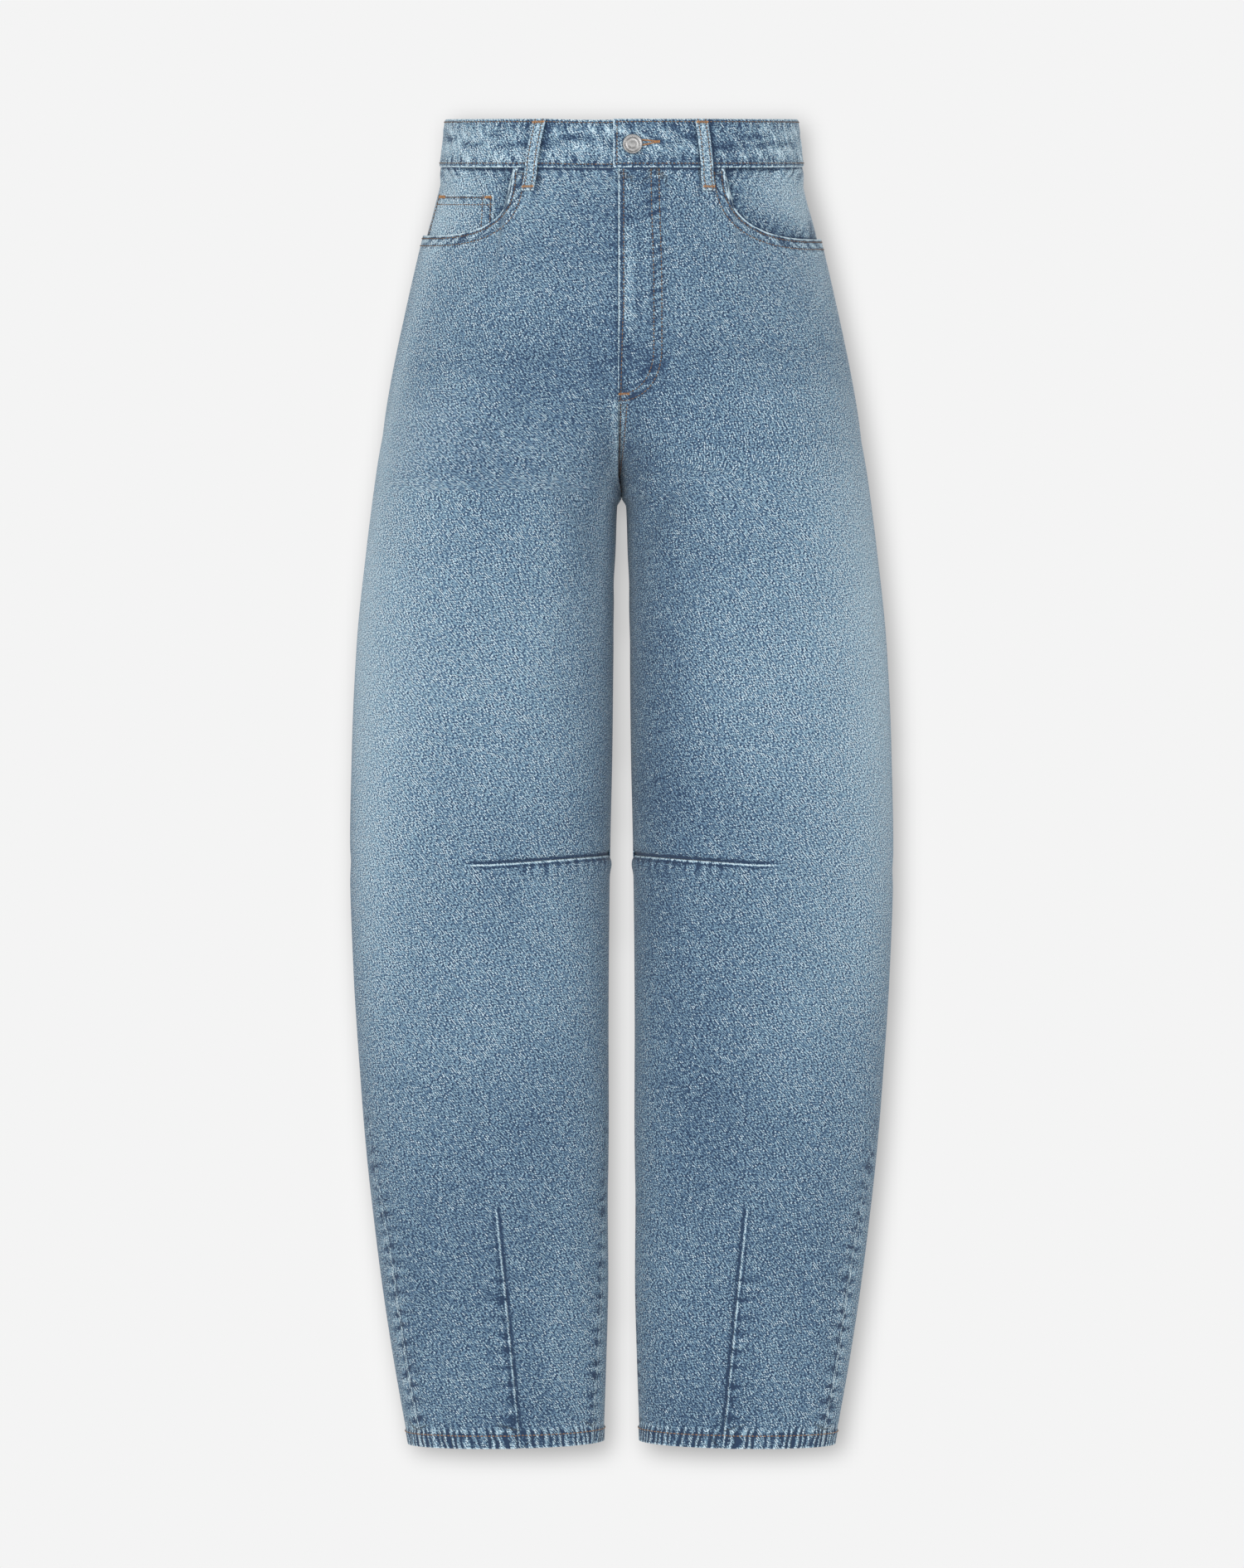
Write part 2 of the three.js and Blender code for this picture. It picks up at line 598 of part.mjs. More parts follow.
// Waistband: angles run on from the under end in front, round the wearer's right, back and left
const BAND_STATIONS = 60;
const bandAngleAtX = (x, level) => Math.acos(signedPower(x / form.outer(level), SECTION_POWER / 2));
const bandPoint = (level, turn) => {
  const angle = Math.atan2(Math.sin(turn), Math.cos(turn));
  return formPoint(level, angle, 1);
};
const bandNormal = (level, turn) => formNormal(level, Math.atan2(Math.sin(turn), Math.cos(turn)), 1);
const BAND_PROFILE = [
  [0, BAND_LIFT - BAND_BEVEL],
  [-BAND_EDGE, BAND_LIFT],
  [-BAND_HEIGHT / 2, BAND_LIFT],
  [-BAND_HEIGHT + BAND_EDGE, BAND_LIFT],
  [-BAND_HEIGHT + SEAM_GAP / 2, BAND_LIFT - BAND_BEVEL],
  [-BAND_HEIGHT + SEAM_GAP / 2, BAND_LIFT - BAND_WALL + BAND_BEVEL],
  [-BAND_HEIGHT + BAND_EDGE, BAND_LIFT - BAND_WALL],
  [-BAND_HEIGHT / 2, BAND_LIFT - BAND_WALL],
  [-BAND_EDGE, BAND_LIFT - BAND_WALL],
  [0, BAND_LIFT - BAND_WALL + BAND_BEVEL],
];
const bandRings = [];
for (let k = 0; k <= BAND_STATIONS; k += 1) {
  bandRings.push(BAND_PROFILE.map(([level, out]) => {
    const start = bandAngleAtX(BAND_UNDER_X, level);
    const end = bandAngleAtX(BAND_END_X, level) + 2 * Math.PI;
    const turn = mix(start, end, k / BAND_STATIONS);
    const under = 1 - smooth((turn / DEG - BAND_UNDER_FROM) / (BAND_UNDER_TO - BAND_UNDER_FROM));
    const point = bandPoint(level, turn);
    return point.addScaledVector(bandNormal(level, turn), out - BAND_UNDER_INSET * under);
  }));
}
addPiece("waistband", ringTube(bandRings), DENIM_LIGHT);

// Belt loops stand off the waistband and are held at both ends
const LOOP_STATIONS = 11;
function loopRings({ topX, bottomX, facing: side }) {
  const rings = [];
  for (let k = 0; k < LOOP_STATIONS; k += 1) {
    const down = k / (LOOP_STATIONS - 1);
    const level = mix(LOOP_TOP_LEVEL, LOOP_BOTTOM_LEVEL, down);
    const x = mix(topX, bottomX, down);
    const angle = angleAtX(level, side < 0, Math.abs(x));
    const leg = x < 0 ? -1 : 1;
    const normal = formNormal(level, angle, leg);
    const below = smooth((-BAND_HEIGHT - LOOP_STEP_BELOW - level) / LOOP_STEP_SOFT);
    const arch = LOOP_STAND_OFF * smooth(Math.sin(Math.PI * clamp01(down / LOOP_ARCH_ENDS)));
    const base = mix(BAND_LIFT, 0, below) + SEAM_GAP + arch;
    const along = new THREE.Vector3(-normal.y, normal.x, 0).normalize();
    const start = formPoint(level, angle, leg).addScaledVector(normal, base);
    const h = LOOP_WIDTH / 2;
    const profile = [
      [-h, LOOP_BEVEL], [-h, LOOP_WALL - LOOP_BEVEL], [-h + LOOP_BEVEL, LOOP_WALL],
      [h - LOOP_BEVEL, LOOP_WALL], [h, LOOP_WALL - LOOP_BEVEL], [h, LOOP_BEVEL],
      [h - LOOP_BEVEL, 0], [-h + LOOP_BEVEL, 0],
    ];
    rings.push(profile.map(([aside, out]) =>
      start.clone().addScaledVector(along, aside).addScaledVector(normal, out)));
  }
  return rings;
}

for (const row of LOOPS) {
  const loop = named(LOOP_COLUMNS, row);
  addPiece(loop.name, ringTube(loopRings(loop)), DENIM_LIGHT);
}

// Button: a domed cap with a raised rim on a short shank, standing on the waistband
const BUTTON_PROFILE = [
  [0, 0], [SHANK_RADIUS, 0], [SHANK_RADIUS, 0.9],
  [BUTTON_RADIUS - 0.8, 1.0], [BUTTON_RADIUS, 1.5], [BUTTON_RADIUS, 2.2], [BUTTON_RADIUS - 0.5, 2.7],
  [BUTTON_RADIUS - 1.2, 2.75], [5.2, 2.5], [2.6, 2.75], [0, 2.8],
];
const BUTTON_SEGMENTS = 24;
const buttonAngle = angleAtX(BUTTON_LEVEL, true, BUTTON_X);
const buttonNormal = formNormal(BUTTON_LEVEL, buttonAngle, 1);
const buttonSeat = formPoint(BUTTON_LEVEL, buttonAngle, 1)
  .addScaledVector(buttonNormal, BAND_LIFT + SEAM_GAP);
const buttonProfile = BUTTON_PROFILE.map(([radius, height]) => new THREE.Vector2(radius, height));
const button = new THREE.LatheGeometry(buttonProfile, BUTTON_SEGMENTS);
const turnToSeat = new THREE.Quaternion().setFromUnitVectors(new THREE.Vector3(0, 1, 0), buttonNormal);
button.applyMatrix4(new THREE.Matrix4().compose(buttonSeat, turnToSeat, new THREE.Vector3(1, 1, 1)));
addPiece("button", button, STEEL, 1);

export default trousers;
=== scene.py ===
# %% [markdown]
# # Barrel leg trousers
# A pair of washed denim trousers with curved legs, filled out with nobody inside. The solids of the part are
# the frame; here each one gets its cloth, folds, seams, stitches, wash and painted shade.
# The lesson starts with the frame, because every piece has to stay inside the box that it gives.

# %% Load the frame
import math
import bpy
import numpy as np
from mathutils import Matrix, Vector


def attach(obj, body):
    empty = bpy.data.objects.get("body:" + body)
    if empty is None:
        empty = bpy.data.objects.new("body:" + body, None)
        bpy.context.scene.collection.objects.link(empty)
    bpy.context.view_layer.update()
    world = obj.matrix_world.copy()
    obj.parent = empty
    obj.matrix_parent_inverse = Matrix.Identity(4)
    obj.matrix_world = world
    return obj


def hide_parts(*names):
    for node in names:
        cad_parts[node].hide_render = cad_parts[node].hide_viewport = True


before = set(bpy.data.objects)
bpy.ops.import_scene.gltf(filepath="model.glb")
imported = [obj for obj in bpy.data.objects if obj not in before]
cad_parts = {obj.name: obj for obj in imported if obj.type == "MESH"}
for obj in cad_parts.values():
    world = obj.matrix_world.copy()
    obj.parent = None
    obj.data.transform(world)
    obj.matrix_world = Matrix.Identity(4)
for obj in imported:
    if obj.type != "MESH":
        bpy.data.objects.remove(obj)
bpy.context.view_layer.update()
rng = np.random.default_rng(12)

# %% [markdown]
# ## The body form
# All cloth lies on one hollow form. A table gives its outline level by level, and a section is a rounded
# ellipse for each leg. Above the crotch the two ellipses slide into each other, which gives the rise its
# curve. Writing the form as a function, in place of a scanned mesh, keeps seams, folds and stitches on
# exactly the same surface. Lengths here are in millimetres and turn into metres when a mesh is made.

# %% The form's table
MM = 0.001
BAND_HEIGHT = 38
HEM_LEVEL = -1055
CROTCH_LEVEL = -301
WALL = 1.2
SEAM_GAP = 0.3
FLY_END = -229
COLUMNS = ["level", "outer", "inner", "front", "back", "outseam", "inseam_right", "inseam_left"]
FORM = np.array([
    [0, 139.6, 0, 88, 78, -15, 180, 180],
    [-38, 144.2, 0, 92, 86, -15, 180, 180],
    [-90, 157.4, 0, 98, 101, -15, 180, 180],
    [-140, 169.1, 0, 102, 116, -15, 180, 180],
    [-200, 181.8, 0, 105, 126, -15, 180, 180],
    [-250, 190.4, 0, 105, 124, -15, 180, 180],
    [-301, 197.7, 0, 103, 114, -14, 180, 180],
    [-308, 198.6, 3.5, 102.7, 112.5, -13.8, 180, 180],
    [-340, 202.6, 4.6, 101, 106, -13, 180, 180],
    [-420, 210.8, 6.4, 97, 96, -12, 180, 180],
    [-500, 214.5, 7.3, 91, 87, -10, 180, 180],
    [-590, 216.1, 9.2, 82, 77, -8, 180, 180],
    [-680, 213.2, 10.2, 71, 71, -3, 178, 180],
    [-725, 210.5, 10.4, 67, 69, 2, 176, 180],
    [-760, 208, 10.3, 63.5, 67, 9, 173, 180],
    [-796, 205.3, 10.2, 60, 65, 16, 170, 179],
    [-830, 202.2, 10.5, 57, 62.5, 21.5, 167, 179],
    [-860, 198.9, 11, 54.5, 60, 26, 164, 178],
    [-920, 191.5, 10.6, 50.5, 56, 30.5, 160, 177],
    [-990, 181, 12.2, 46.5, 51, 31, 155, 175],
    [-1055, 169.6, 14.3, 44, 47, 33, 150, 173],
])


def smooth(t):
    t = np.clip(t, 0, 1)
    return t * t * (3 - 2 * t)


def mix(a, b, t):
    return a + (b - a) * t


def signed_power(value, power):
    return np.sign(value) * np.abs(value) ** power


def form_column(name):
    levels, values = FORM[:, 0], FORM[:, COLUMNS.index(name)]
    steps = np.diff(levels)
    slopes = np.diff(values) / steps
    tangents = np.empty_like(values)
    tangents[0], tangents[-1] = slopes[0], slopes[-1]
    before, after = slopes[:-1], slopes[1:]
    same = before * after > 0
    total = np.where(same, before + after, 1)
    tangents[1:-1] = np.where(same, 2 * before * after / total, 0)

    def at(level):
        level = np.asarray(level, float)
        i = np.clip(np.searchsorted(-levels, -level, side="left") - 1, 0, len(steps) - 1)
        t = (level - levels[i]) / steps[i]
        start = (1 + 2 * t) * (1 - t) ** 2 * values[i] + t * (1 - t) ** 2 * steps[i] * tangents[i]
        end = t * t * (3 - 2 * t) * values[i + 1] + t * t * (t - 1) * steps[i] * tangents[i + 1]
        return start + end

    return at


form = {name: form_column(name) for name in COLUMNS[1:]}
print("half width at hip, knee, hem:", [round(float(form["outer"](z)), 1) for z in (-200, -590, -1055)])

# %% [markdown]
# ## Sections and seam lines
# An angle runs round each leg: 0 at its outermost line, 90 in front, 180 inside. The seams of the cut are
# lines of such angles, so a panel is a grid between two seam lines, as a maker's panel is.

# %% Points, normals and seam angles on the form
SECTION_POWER = 2.2
FRONT_PARTS_FROM = -150
BACK_PARTS_FROM = -165
WAIST_TILT = 0.115
TILT_ENDS = -300
FLY_SHIFT, FLY_SHIFT_ENDS = -2.7, -284
HEM_DART_TIP = -861
HEM_DART_LEAN = 4.6
DART_ANGLE = 93.4
KNEE_DART_LEVEL = -585
KNEE_DART_DROP = 6.4
HEM_RISE, HEM_RISE_INSIDE, HEM_RISE_FROM = 1.6, 2.6, -940


def leg_section(level, in_front):
    level = np.asarray(level, float)
    outer, inner = form["outer"](level), form["inner"](level)
    parts_from = np.where(in_front, FRONT_PARTS_FROM, BACK_PARTS_FROM)
    above = smooth((parts_from - level) / (parts_from - CROTCH_LEVEL))
    share = np.where(level <= CROTCH_LEVEL, (outer + inner) / (outer - inner), above)
    half = outer / (1 + share)
    depth = np.where(in_front, form["front"](level), form["back"](level))
    return outer - half, half, depth


def form_point(level, angle, leg):
    level, angle = np.broadcast_arrays(np.asarray(level, float), np.asarray(angle, float))
    centre, half, depth = leg_section(level, np.sin(angle) >= 0)
    x = centre + half * signed_power(np.cos(angle), 2 / SECTION_POWER)
    y = -depth * signed_power(np.sin(angle), 2 / SECTION_POWER)
    tilt = WAIST_TILT * smooth((level - TILT_ENDS) / (-BAND_HEIGHT - TILT_ENDS))
    inside = (1 - np.cos(angle)) / 2
    low = smooth((HEM_RISE_FROM - level) / (HEM_RISE_FROM - HEM_LEVEL))
    rise = (HEM_RISE + HEM_RISE_INSIDE * inside ** 2) * low
    return np.stack([leg * x, y, level + tilt * y + rise], axis=-1)


def unit(vectors):
    return vectors / np.maximum(np.linalg.norm(vectors, axis=-1, keepdims=True), 1e-9)


def form_normal(level, angle, leg):
    along = form_point(level, angle + 0.012, leg) - form_point(level, angle - 0.012, leg)
    down = form_point(np.asarray(level) - 1, angle, leg) - form_point(np.asarray(level) + 1, angle, leg)
    return unit(leg * np.cross(along, down))


def angle_at_x(level, in_front, x):
    centre, half, _ = leg_section(level, in_front)
    cosine = np.clip((x - centre) / half, -1, 1)
    angle = np.arccos(signed_power(cosine, SECTION_POWER / 2))
    return angle if in_front else -angle


def inner_angle(level, leg, in_front):
    level = np.asarray(level, float)
    shift = mix(FLY_SHIFT, 0, smooth((FLY_SHIFT_ENDS - level) / (FLY_SHIFT_ENDS - CROTCH_LEVEL)))
    above = angle_at_x(level, in_front, leg * shift if in_front else 0 * shift)  # only the front has a fly
    inseam = np.radians(form["inseam_right" if leg < 0 else "inseam_left"](level))
    below = inseam if in_front else inseam - 2 * np.pi
    return np.where(level > CROTCH_LEVEL, above, below)


def outseam_angle(level):
    return np.radians(form["outseam"](level))


def dart_angle(level, leg):
    level = np.asarray(level, float)
    middle = (inner_angle(level, leg, True) + outseam_angle(level)) / 2
    lean = HEM_DART_LEAN * np.clip((HEM_DART_TIP - level) / (HEM_DART_TIP - HEM_LEVEL), 0, 1)
    return mix(middle, np.radians(DART_ANGLE + lean), smooth((CROTCH_LEVEL - level) / (CROTCH_LEVEL + 560)))


def dart_share(level, angle, leg):
    inner = inner_angle(level, leg, True)
    return (inner - angle) / (inner - dart_angle(level, leg))


def round_mm(level):
    return leg_section(level, True)[1]


def knee_drop(share):
    """Even across the front as seen, so slow at first where the leg turns inwards."""
    return KNEE_DART_DROP * (1 - np.cos(np.pi / 2 * np.clip(share, 0, 1)))


def knee_dart(share):
    return KNEE_DART_LEVEL - knee_drop(share)


print("front of the knee at:", form_point(-590.0, np.pi / 2, 1).round(1))

# %% [markdown]
# ## Folds
# Cloth with nobody in it keeps a few broad folds where the cut turns: under the seat, behind the knees, at
# the crotch and down the sides. Each is one row: a soft ridge or trough with its own place, run and height.
# The rows are uneven and differ from leg to leg, because even folds look pressed in. The large ones are in
# the solids as well.

# %% Fold tables
FOLD_RADIUS = 96
FOLDS = [
    # leg, level, angle, length, width, slant, height
    (-1, -330, -128, 75, 14, 24, -4.5), (1, -336, -124, 70, 14, 20, -4.2),
    (-1, -362, -112, 80, 16, 18, -3.6), (1, -372, -116, 74, 15, 22, -3.8),
    (-1, -346, -100, 80, 14, 20, 3.0), (1, -352, -104, 76, 14, 22, 3.0),
    (-1, -574, -100, 62, 13, 10, -3.6), (1, -566, -96, 66, 13, -8, -3.4),
    (-1, -606, -92, 70, 14, -8, -3.2), (1, -612, -98, 62, 13, 8, -3.6),
    (-1, -590, -88, 60, 12, 2, 2.6), (1, -590, -94, 60, 12, -2, 2.6),
    (-1, -300, 128, 52, 12, -38, -2.6), (1, -304, 126, 50, 12, -36, -2.4),
    (-1, -640, 62, 120, 26, 78, -1.6), (1, -650, 58, 120, 26, 80, -1.6),
    (-1, -940, 62, 90, 15, 82, -1.8), (1, -950, 64, 90, 15, 84, -1.6),
    (-1, -930, -70, 90, 18, 84, -2.2), (1, -940, -64, 90, 18, 80, -2.2),
]
FINE_FOLDS = [
    (-1, -118, 60, 42, 6, 8, -0.9), (1, -126, 58, 46, 6, -6, -0.9),
    (-1, -168, 70, 55, 8, -10, -0.8), (1, -176, 66, 50, 8, 12, -0.8),
    (-1, -232, 96, 40, 6, -24, -0.9), (1, -240, 98, 38, 6, -28, -0.9),
    (-1, -262, 112, 42, 6, -34, -1.0), (1, -268, 110, 44, 6, -30, -1.0),
    (-1, -330, 138, 60, 9, -46, -1.2), (1, -322, 140, 64, 9, -50, -1.2),
    (-1, -400, 118, 90, 12, 74, 1.0), (1, -410, 116, 95, 12, -74, 1.0),
    (-1, -480, 84, 100, 16, 84, -0.9), (1, -470, 88, 110, 16, -82, -0.9),
    (-1, -560, 118, 40, 9, 20, 0.8), (1, -562, 116, 40, 9, 16, 0.8),
    (-1, -622, 124, 44, 10, -14, 1.1), (1, -620, 122, 46, 10, -12, 1.1),
    (-1, -668, 104, 60, 12, -30, -0.9), (1, -674, 108, 60, 12, -24, -0.9),
    (-1, -745, 116, 60, 12, -52, 0.8), (1, -752, 112, 64, 12, -56, 0.8),
    (-1, -815, 74, 70, 12, 66, 0.9), (1, -830, 76, 66, 12, 62, 0.9),
    (-1, -880, 120, 66, 11, 80, -0.9), (1, -872, 122, 70, 11, 82, -0.9),
    (-1, -985, 70, 48, 9, 78, 0.8), (1, -978, 68, 48, 9, 76, 0.8),
    (-1, -1000, 122, 44, 8, -80, 0.8), (1, -994, 124, 44, 8, -78, 0.8),
    (-1, -196, -58, 60, 10, 18, -1.3), (1, -206, -62, 58, 10, 14, -1.3),
    (-1, -286, -76, 66, 9, 10, -1.8), (1, -292, -70, 66, 9, 14, -1.8),
    (-1, -392, -78, 70, 12, 26, 1.4), (1, -404, -82, 70, 12, 30, 1.4),
    (-1, -450, -118, 90, 13, 70, -1.4), (1, -462, -112, 86, 13, 74, -1.4),
    (-1, -548, -64, 50, 9, -20, -1.4), (1, -552, -70, 50, 9, 22, -1.4),
    (-1, -640, -104, 60, 10, -16, -1.6), (1, -636, -60, 56, 10, 14, -1.5),
    (-1, -700, -80, 70, 12, 40, 1.2), (1, -712, -88, 70, 12, -44, 1.2),
    (-1, -800, -100, 80, 13, 72, -1.3), (1, -790, -94, 80, 13, 66, -1.3),
    (-1, -240, 8, 60, 9, 60, -0.9), (1, -250, 6, 60, 9, 64, -0.9),
    (-1, -590, 6, 50, 9, 10, -0.8), (1, -600, 10, 50, 9, -12, -0.8),
]


def fold_height(level, angle, leg, table):
    height = np.zeros(np.broadcast(level, angle).shape)
    for side, at, turn, length, width, slant, peak in table:
        if side != leg:
            continue
        off = angle - math.radians(turn)
        across = np.arctan2(np.sin(off), np.cos(off)) * FOLD_RADIUS
        up = level - at
        c, s = math.cos(math.radians(slant)), math.sin(math.radians(slant))
        along, aside = across * c + up * s, up * c - across * s
        height += peak * np.exp(-((along / length) ** 2) - (aside / width) ** 2)
    return height


def dart_height(level, angle, leg):
    share = dart_share(level, angle, leg)
    off = level - knee_dart(share)
    fade = smooth((1.12 - share) / 0.35)
    valley = np.where(off > 0, np.exp(-((off / 4.5) ** 2)), np.exp(-((off / 2.4) ** 2)))
    knee = fade * (1.3 * np.exp(-(((off + 8) / 5.5) ** 2)) - 2.1 * valley)
    aside = (angle - dart_angle(level, leg)) * round_mm(level)
    begins = smooth((HEM_DART_TIP - level) / 40)
    valley = np.where(aside > 0, np.exp(-((aside / 3.6) ** 2)), np.exp(-((aside / 2.2) ** 2)))
    hem = begins * (0.9 * np.exp(-(((aside + 7) / 5) ** 2)) - 1.8 * valley)
    return knee + hem


print("folds:", len(FOLDS), "large,", len(FINE_FOLDS), "fine")

# %% [markdown]
# ## Wash and painted shade
# Stone washing rubs the cloth pale where it stands out and leaves it dark where it is held in. On this pair
# the outer thighs are palest and the inner legs and the front of the rise darkest. This comes from the wash and
# from painted light and shade of the rounded form. Narrow strips of painted light lift the shade deep between
# the legs, and faint cross bands lie over the hips. The wash and the painted shade are worked out per vertex
# from a short table, and the shader reads them as one value.

# %% Wash and painted shade table
# The rows hold the wash together with painted light and shade of the rounded form.
WASH_AND_SHADE = [
    # leg (0 both), level, angle, length, width, slant, tone
    (0, -430, 18, 230, 62, 90, 0.28), (0, -640, 34, 150, 44, 90, 0.08),
    (0, -235, 150, 130, 60, 90, -0.18), (0, -470, 160, 200, 50, 90, -0.10),
    (0, -215, 92, 120, 30, 90, -0.06), (0, -180, 80, 190, 80, 0, -0.18),
    (0, -100, 105, 130, 34, 0, -0.14), (0, -70, 20, 40, 50, 0, 0.24),
    (0, -900, 80, 270, 210, 90, -0.21), (0, -720, 10, 150, 50, 90, -0.05),
    (0, -380, 178, 130, 13, 90, 0.16), (-1, -320, 80, 80, 60, 90, -0.08),
    (1, -470, 138, 120, 40, 90, -0.17), (1, -340, 110, 60, 60, 90, -0.12),
    (-1, -520, 2, 120, 15, 90, -0.14), (1, -420, 2, 170, 15, 90, -0.14),
    (1, -545, 128, 90, 26, 10, -0.08), (-1, -560, 130, 60, 20, 6, -0.06),
    (1, -640, 150, 80, 30, 90, -0.10), (0, -705, 95, 60, 60, 90, 0.08),
    (-1, -285, 70, 90, 7, 4, -0.07), (1, -262, 68, 90, 7, -4, -0.06),
    (-1, -238, 60, 90, 6, 2, 0.05), (1, -226, 62, 90, 6, -2, 0.05),
    (-1, -196, 62, 90, 7, 3, -0.05), (1, -186, 62, 90, 7, -3, -0.05),
    (1, -380, 34, 120, 30, 90, 0.07), (1, -950, 20, 110, 40, 90, 0.08),
    (-1, -930, 50, 60, 24, 84, -0.08), (1, -930, 52, 60, 22, 84, -0.06),
    (-1, -1034, 96, 60, 20, 0, -0.10), (1, -1034, 120, 60, 24, 0, -0.10),
    (0, -960, 128, 70, 30, 90, 0.04), (0, -230, -90, 130, 90, 0, 0.06),
    (1, -640, 128, 170, 40, 90, -0.13), (-1, -600, 80, 150, 50, 90, -0.07),
    (-1, -570, 10, 100, 20, 90, -0.08), (-1, -780, 112, 80, 30, 90, -0.08),
    (1, -775, 118, 90, 42, 90, -0.11), (1, -560, 5, 150, 16, 90, -0.07),
    (-1, -320, 176, 60, 8, 90, 0.16), (1, -320, 178, 70, 8, 90, 0.10), (1, -310, 4, 60, 16, 90, -0.08),
    (-1, -590, 8, 110, 22, 90, -0.10), (1, -1000, 130, 60, 45, 90, -0.11),
    (-1, -1010, 105, 50, 25, 90, -0.09), (1, -650, 100, 140, 28, 90, -0.09), (1, -420, 3, 180, 14, 90, -0.09),
    (1, -85, 25, 24, 34, 0, -0.14), (1, -260, 140, 50, 30, 90, -0.07), (-1, -234, 80, 16, 60, 0, -0.08),
    (1, -112, 84, 40, 14, 90, 0.12), (0, -201, 99, 18, 12, 90, -0.13), (0, -236, 113, 30, 16, 0, -0.09),
    (-1, -62, 84, 24, 20, 90, -0.14), (1, -62, 80, 24, 28, 90, -0.14), (0, -110, 20, 70, 15, 90, 0.13),
    (-1, -200, 17, 70, 14, 90, 0.12), (-1, -335, 152, 110, 13, 90, 0.18), (0, -940, 165, 110, 10, 90, 0.07),
    (1, -1020, 95, 40, 16, 90, -0.08), (-1, -270, 22, 120, 14, 90, 0.07), (-1, -900, 85, 60, 30, 90, -0.06),
    (-1, -230, 3, 120, 12, 90, 0.09), (1, -60, 30, 14, 36, 0, 0.13), (-1, -612, 100, 14, 50, 0, -0.08),
]


# Wash and painted light and shade from the table, per vertex.
def wash_and_shade_tone(level, angle, leg):
    tone = np.zeros(np.broadcast(level, angle).shape)
    for side in (0, leg):
        rows = [(leg,) + row[1:] for row in WASH_AND_SHADE if row[0] == side]
        tone += fold_height(level, angle, leg, rows)
    return tone


print("wash patches:", len(WASH_AND_SHADE))

# %% [markdown]
# ## From a grid to a piece of cloth
# A piece of cloth is a closed shell: an outer face, an inner face 1.2 mm behind it, and a narrow rim. One
# helper turns grids of points into such a mesh, with a UV map in metres that follows the threads. It also
# stores named values per vertex that the shader reads: the wash with its painted shade and light, the pull of
# the nearest seam and the way to it. A second helper closes a row of sections into one tube, for the strips
# that are folded on themselves.

# %% Shell builder
INSIDE = 1  # the material slot of a shell's inner face; the outer face and the rim have slot 0


def make_mesh(name, verts, faces, sharp_above=45):
    mesh = bpy.data.meshes.new(name)
    mesh.from_pydata(verts, [], faces)
    mesh.polygons.foreach_set("use_smooth", [True] * len(mesh.polygons))
    mesh.set_sharp_from_angle(angle=math.radians(sharp_above))
    obj = bpy.data.objects.new(name, mesh)
    bpy.context.collection.objects.link(obj)
    return obj


def quads(a, b, c, d):
    return np.stack([a, b, c, d], axis=-1).reshape(-1, 4)


def set_values(mesh, values):
    for key, value in values.items():
        layer = mesh.attributes.new(key, "FLOAT", "POINT")
        layer.data.foreach_set("value", np.asarray(value, np.float32).ravel())


def set_uv(mesh, uv):
    layer = mesh.uv_layers.new(name="threads")
    corners = np.empty(len(mesh.loops), np.int32)
    mesh.loops.foreach_get("vertex_index", corners)
    layer.data.foreach_set("uv", uv.reshape(-1, 2)[corners].astype(np.float32).ravel())


def cloth_shell(name, outer, inner, normal, uv, values):
    """outer, inner and normal are (rows, columns, 3) in millimetres; values are (rows, columns) each."""
    rows, columns = outer.shape[:2]
    index = np.arange(rows * columns).reshape(rows, columns)
    back = index + rows * columns
    r, c = rows // 2, columns // 2
    turn = np.cross(outer[r, c + 1] - outer[r, c], outer[r + 1, c] - outer[r, c])
    out = float(np.dot(turn, normal[r, c])) > 0
    face = quads(index[:-1, :-1], index[:-1, 1:], index[1:, 1:], index[1:, :-1])
    lining = quads(back[:-1, :-1], back[1:, :-1], back[1:, 1:], back[:-1, 1:])
    rim = np.concatenate([index[0, :-1], index[:-1, -1], index[-1, :0:-1], index[:0:-1, 0]])
    after = np.roll(rim, -1)
    edge = quads(rim, rim + index.size, after + index.size, after)
    faces = np.concatenate([face, lining, edge])
    if not out:
        faces = faces[:, ::-1]
    verts = np.concatenate([outer.reshape(-1, 3), inner.reshape(-1, 3)]) * MM
    obj = make_mesh(name, verts.tolist(), faces.tolist())
    for key, value in values.items():
        set_values(obj.data, {key: np.tile(np.broadcast_to(value, (rows, columns)).ravel(), 2)})
    set_uv(obj.data, np.concatenate([uv.reshape(-1, 2)] * 2))
    slots = np.zeros(len(faces), np.int32)
    slots[len(face):len(face) + len(lining)] = INSIDE
    obj.data.polygons.foreach_set("material_index", slots)
    return obj


def thread_uv(points, middle, way):
    """Threads across run along each row from the middle column, threads along run with the level. way is 1 or
    -1, so that the twill leans the same way on both legs when seen from outside."""
    step = np.linalg.norm(np.diff(points, axis=1), axis=-1)
    run = np.concatenate([np.zeros((len(points), 1)), np.cumsum(step, axis=1)], axis=1)
    run -= run[:, middle:middle + 1]
    return np.stack([way * run * MM, points[..., 2] * MM], axis=-1)


def tube_mesh(name, ring, normal, row, column, sharp_above):
    """ring is (sections, points round one section, 3); the faces are turned by the normal at row, column."""
    sections, size = ring.shape[:2]
    index = np.arange(sections * size).reshape(sections, size)
    after = np.roll(index, -1, axis=1)
    faces = quads(index[:-1], after[:-1], after[1:], index[1:]).tolist()
    faces += [index[0, ::-1].tolist(), index[-1].tolist()]
    start, beside, below = ring[row, column], ring[row, (column + 1) % size], ring[row + 1, column]
    if np.cross(beside - start, below - start) @ normal < 0:
        faces = [face[::-1] for face in faces]
    return make_mesh(name, (ring.reshape(-1, 3) * MM).tolist(), faces, sharp_above)


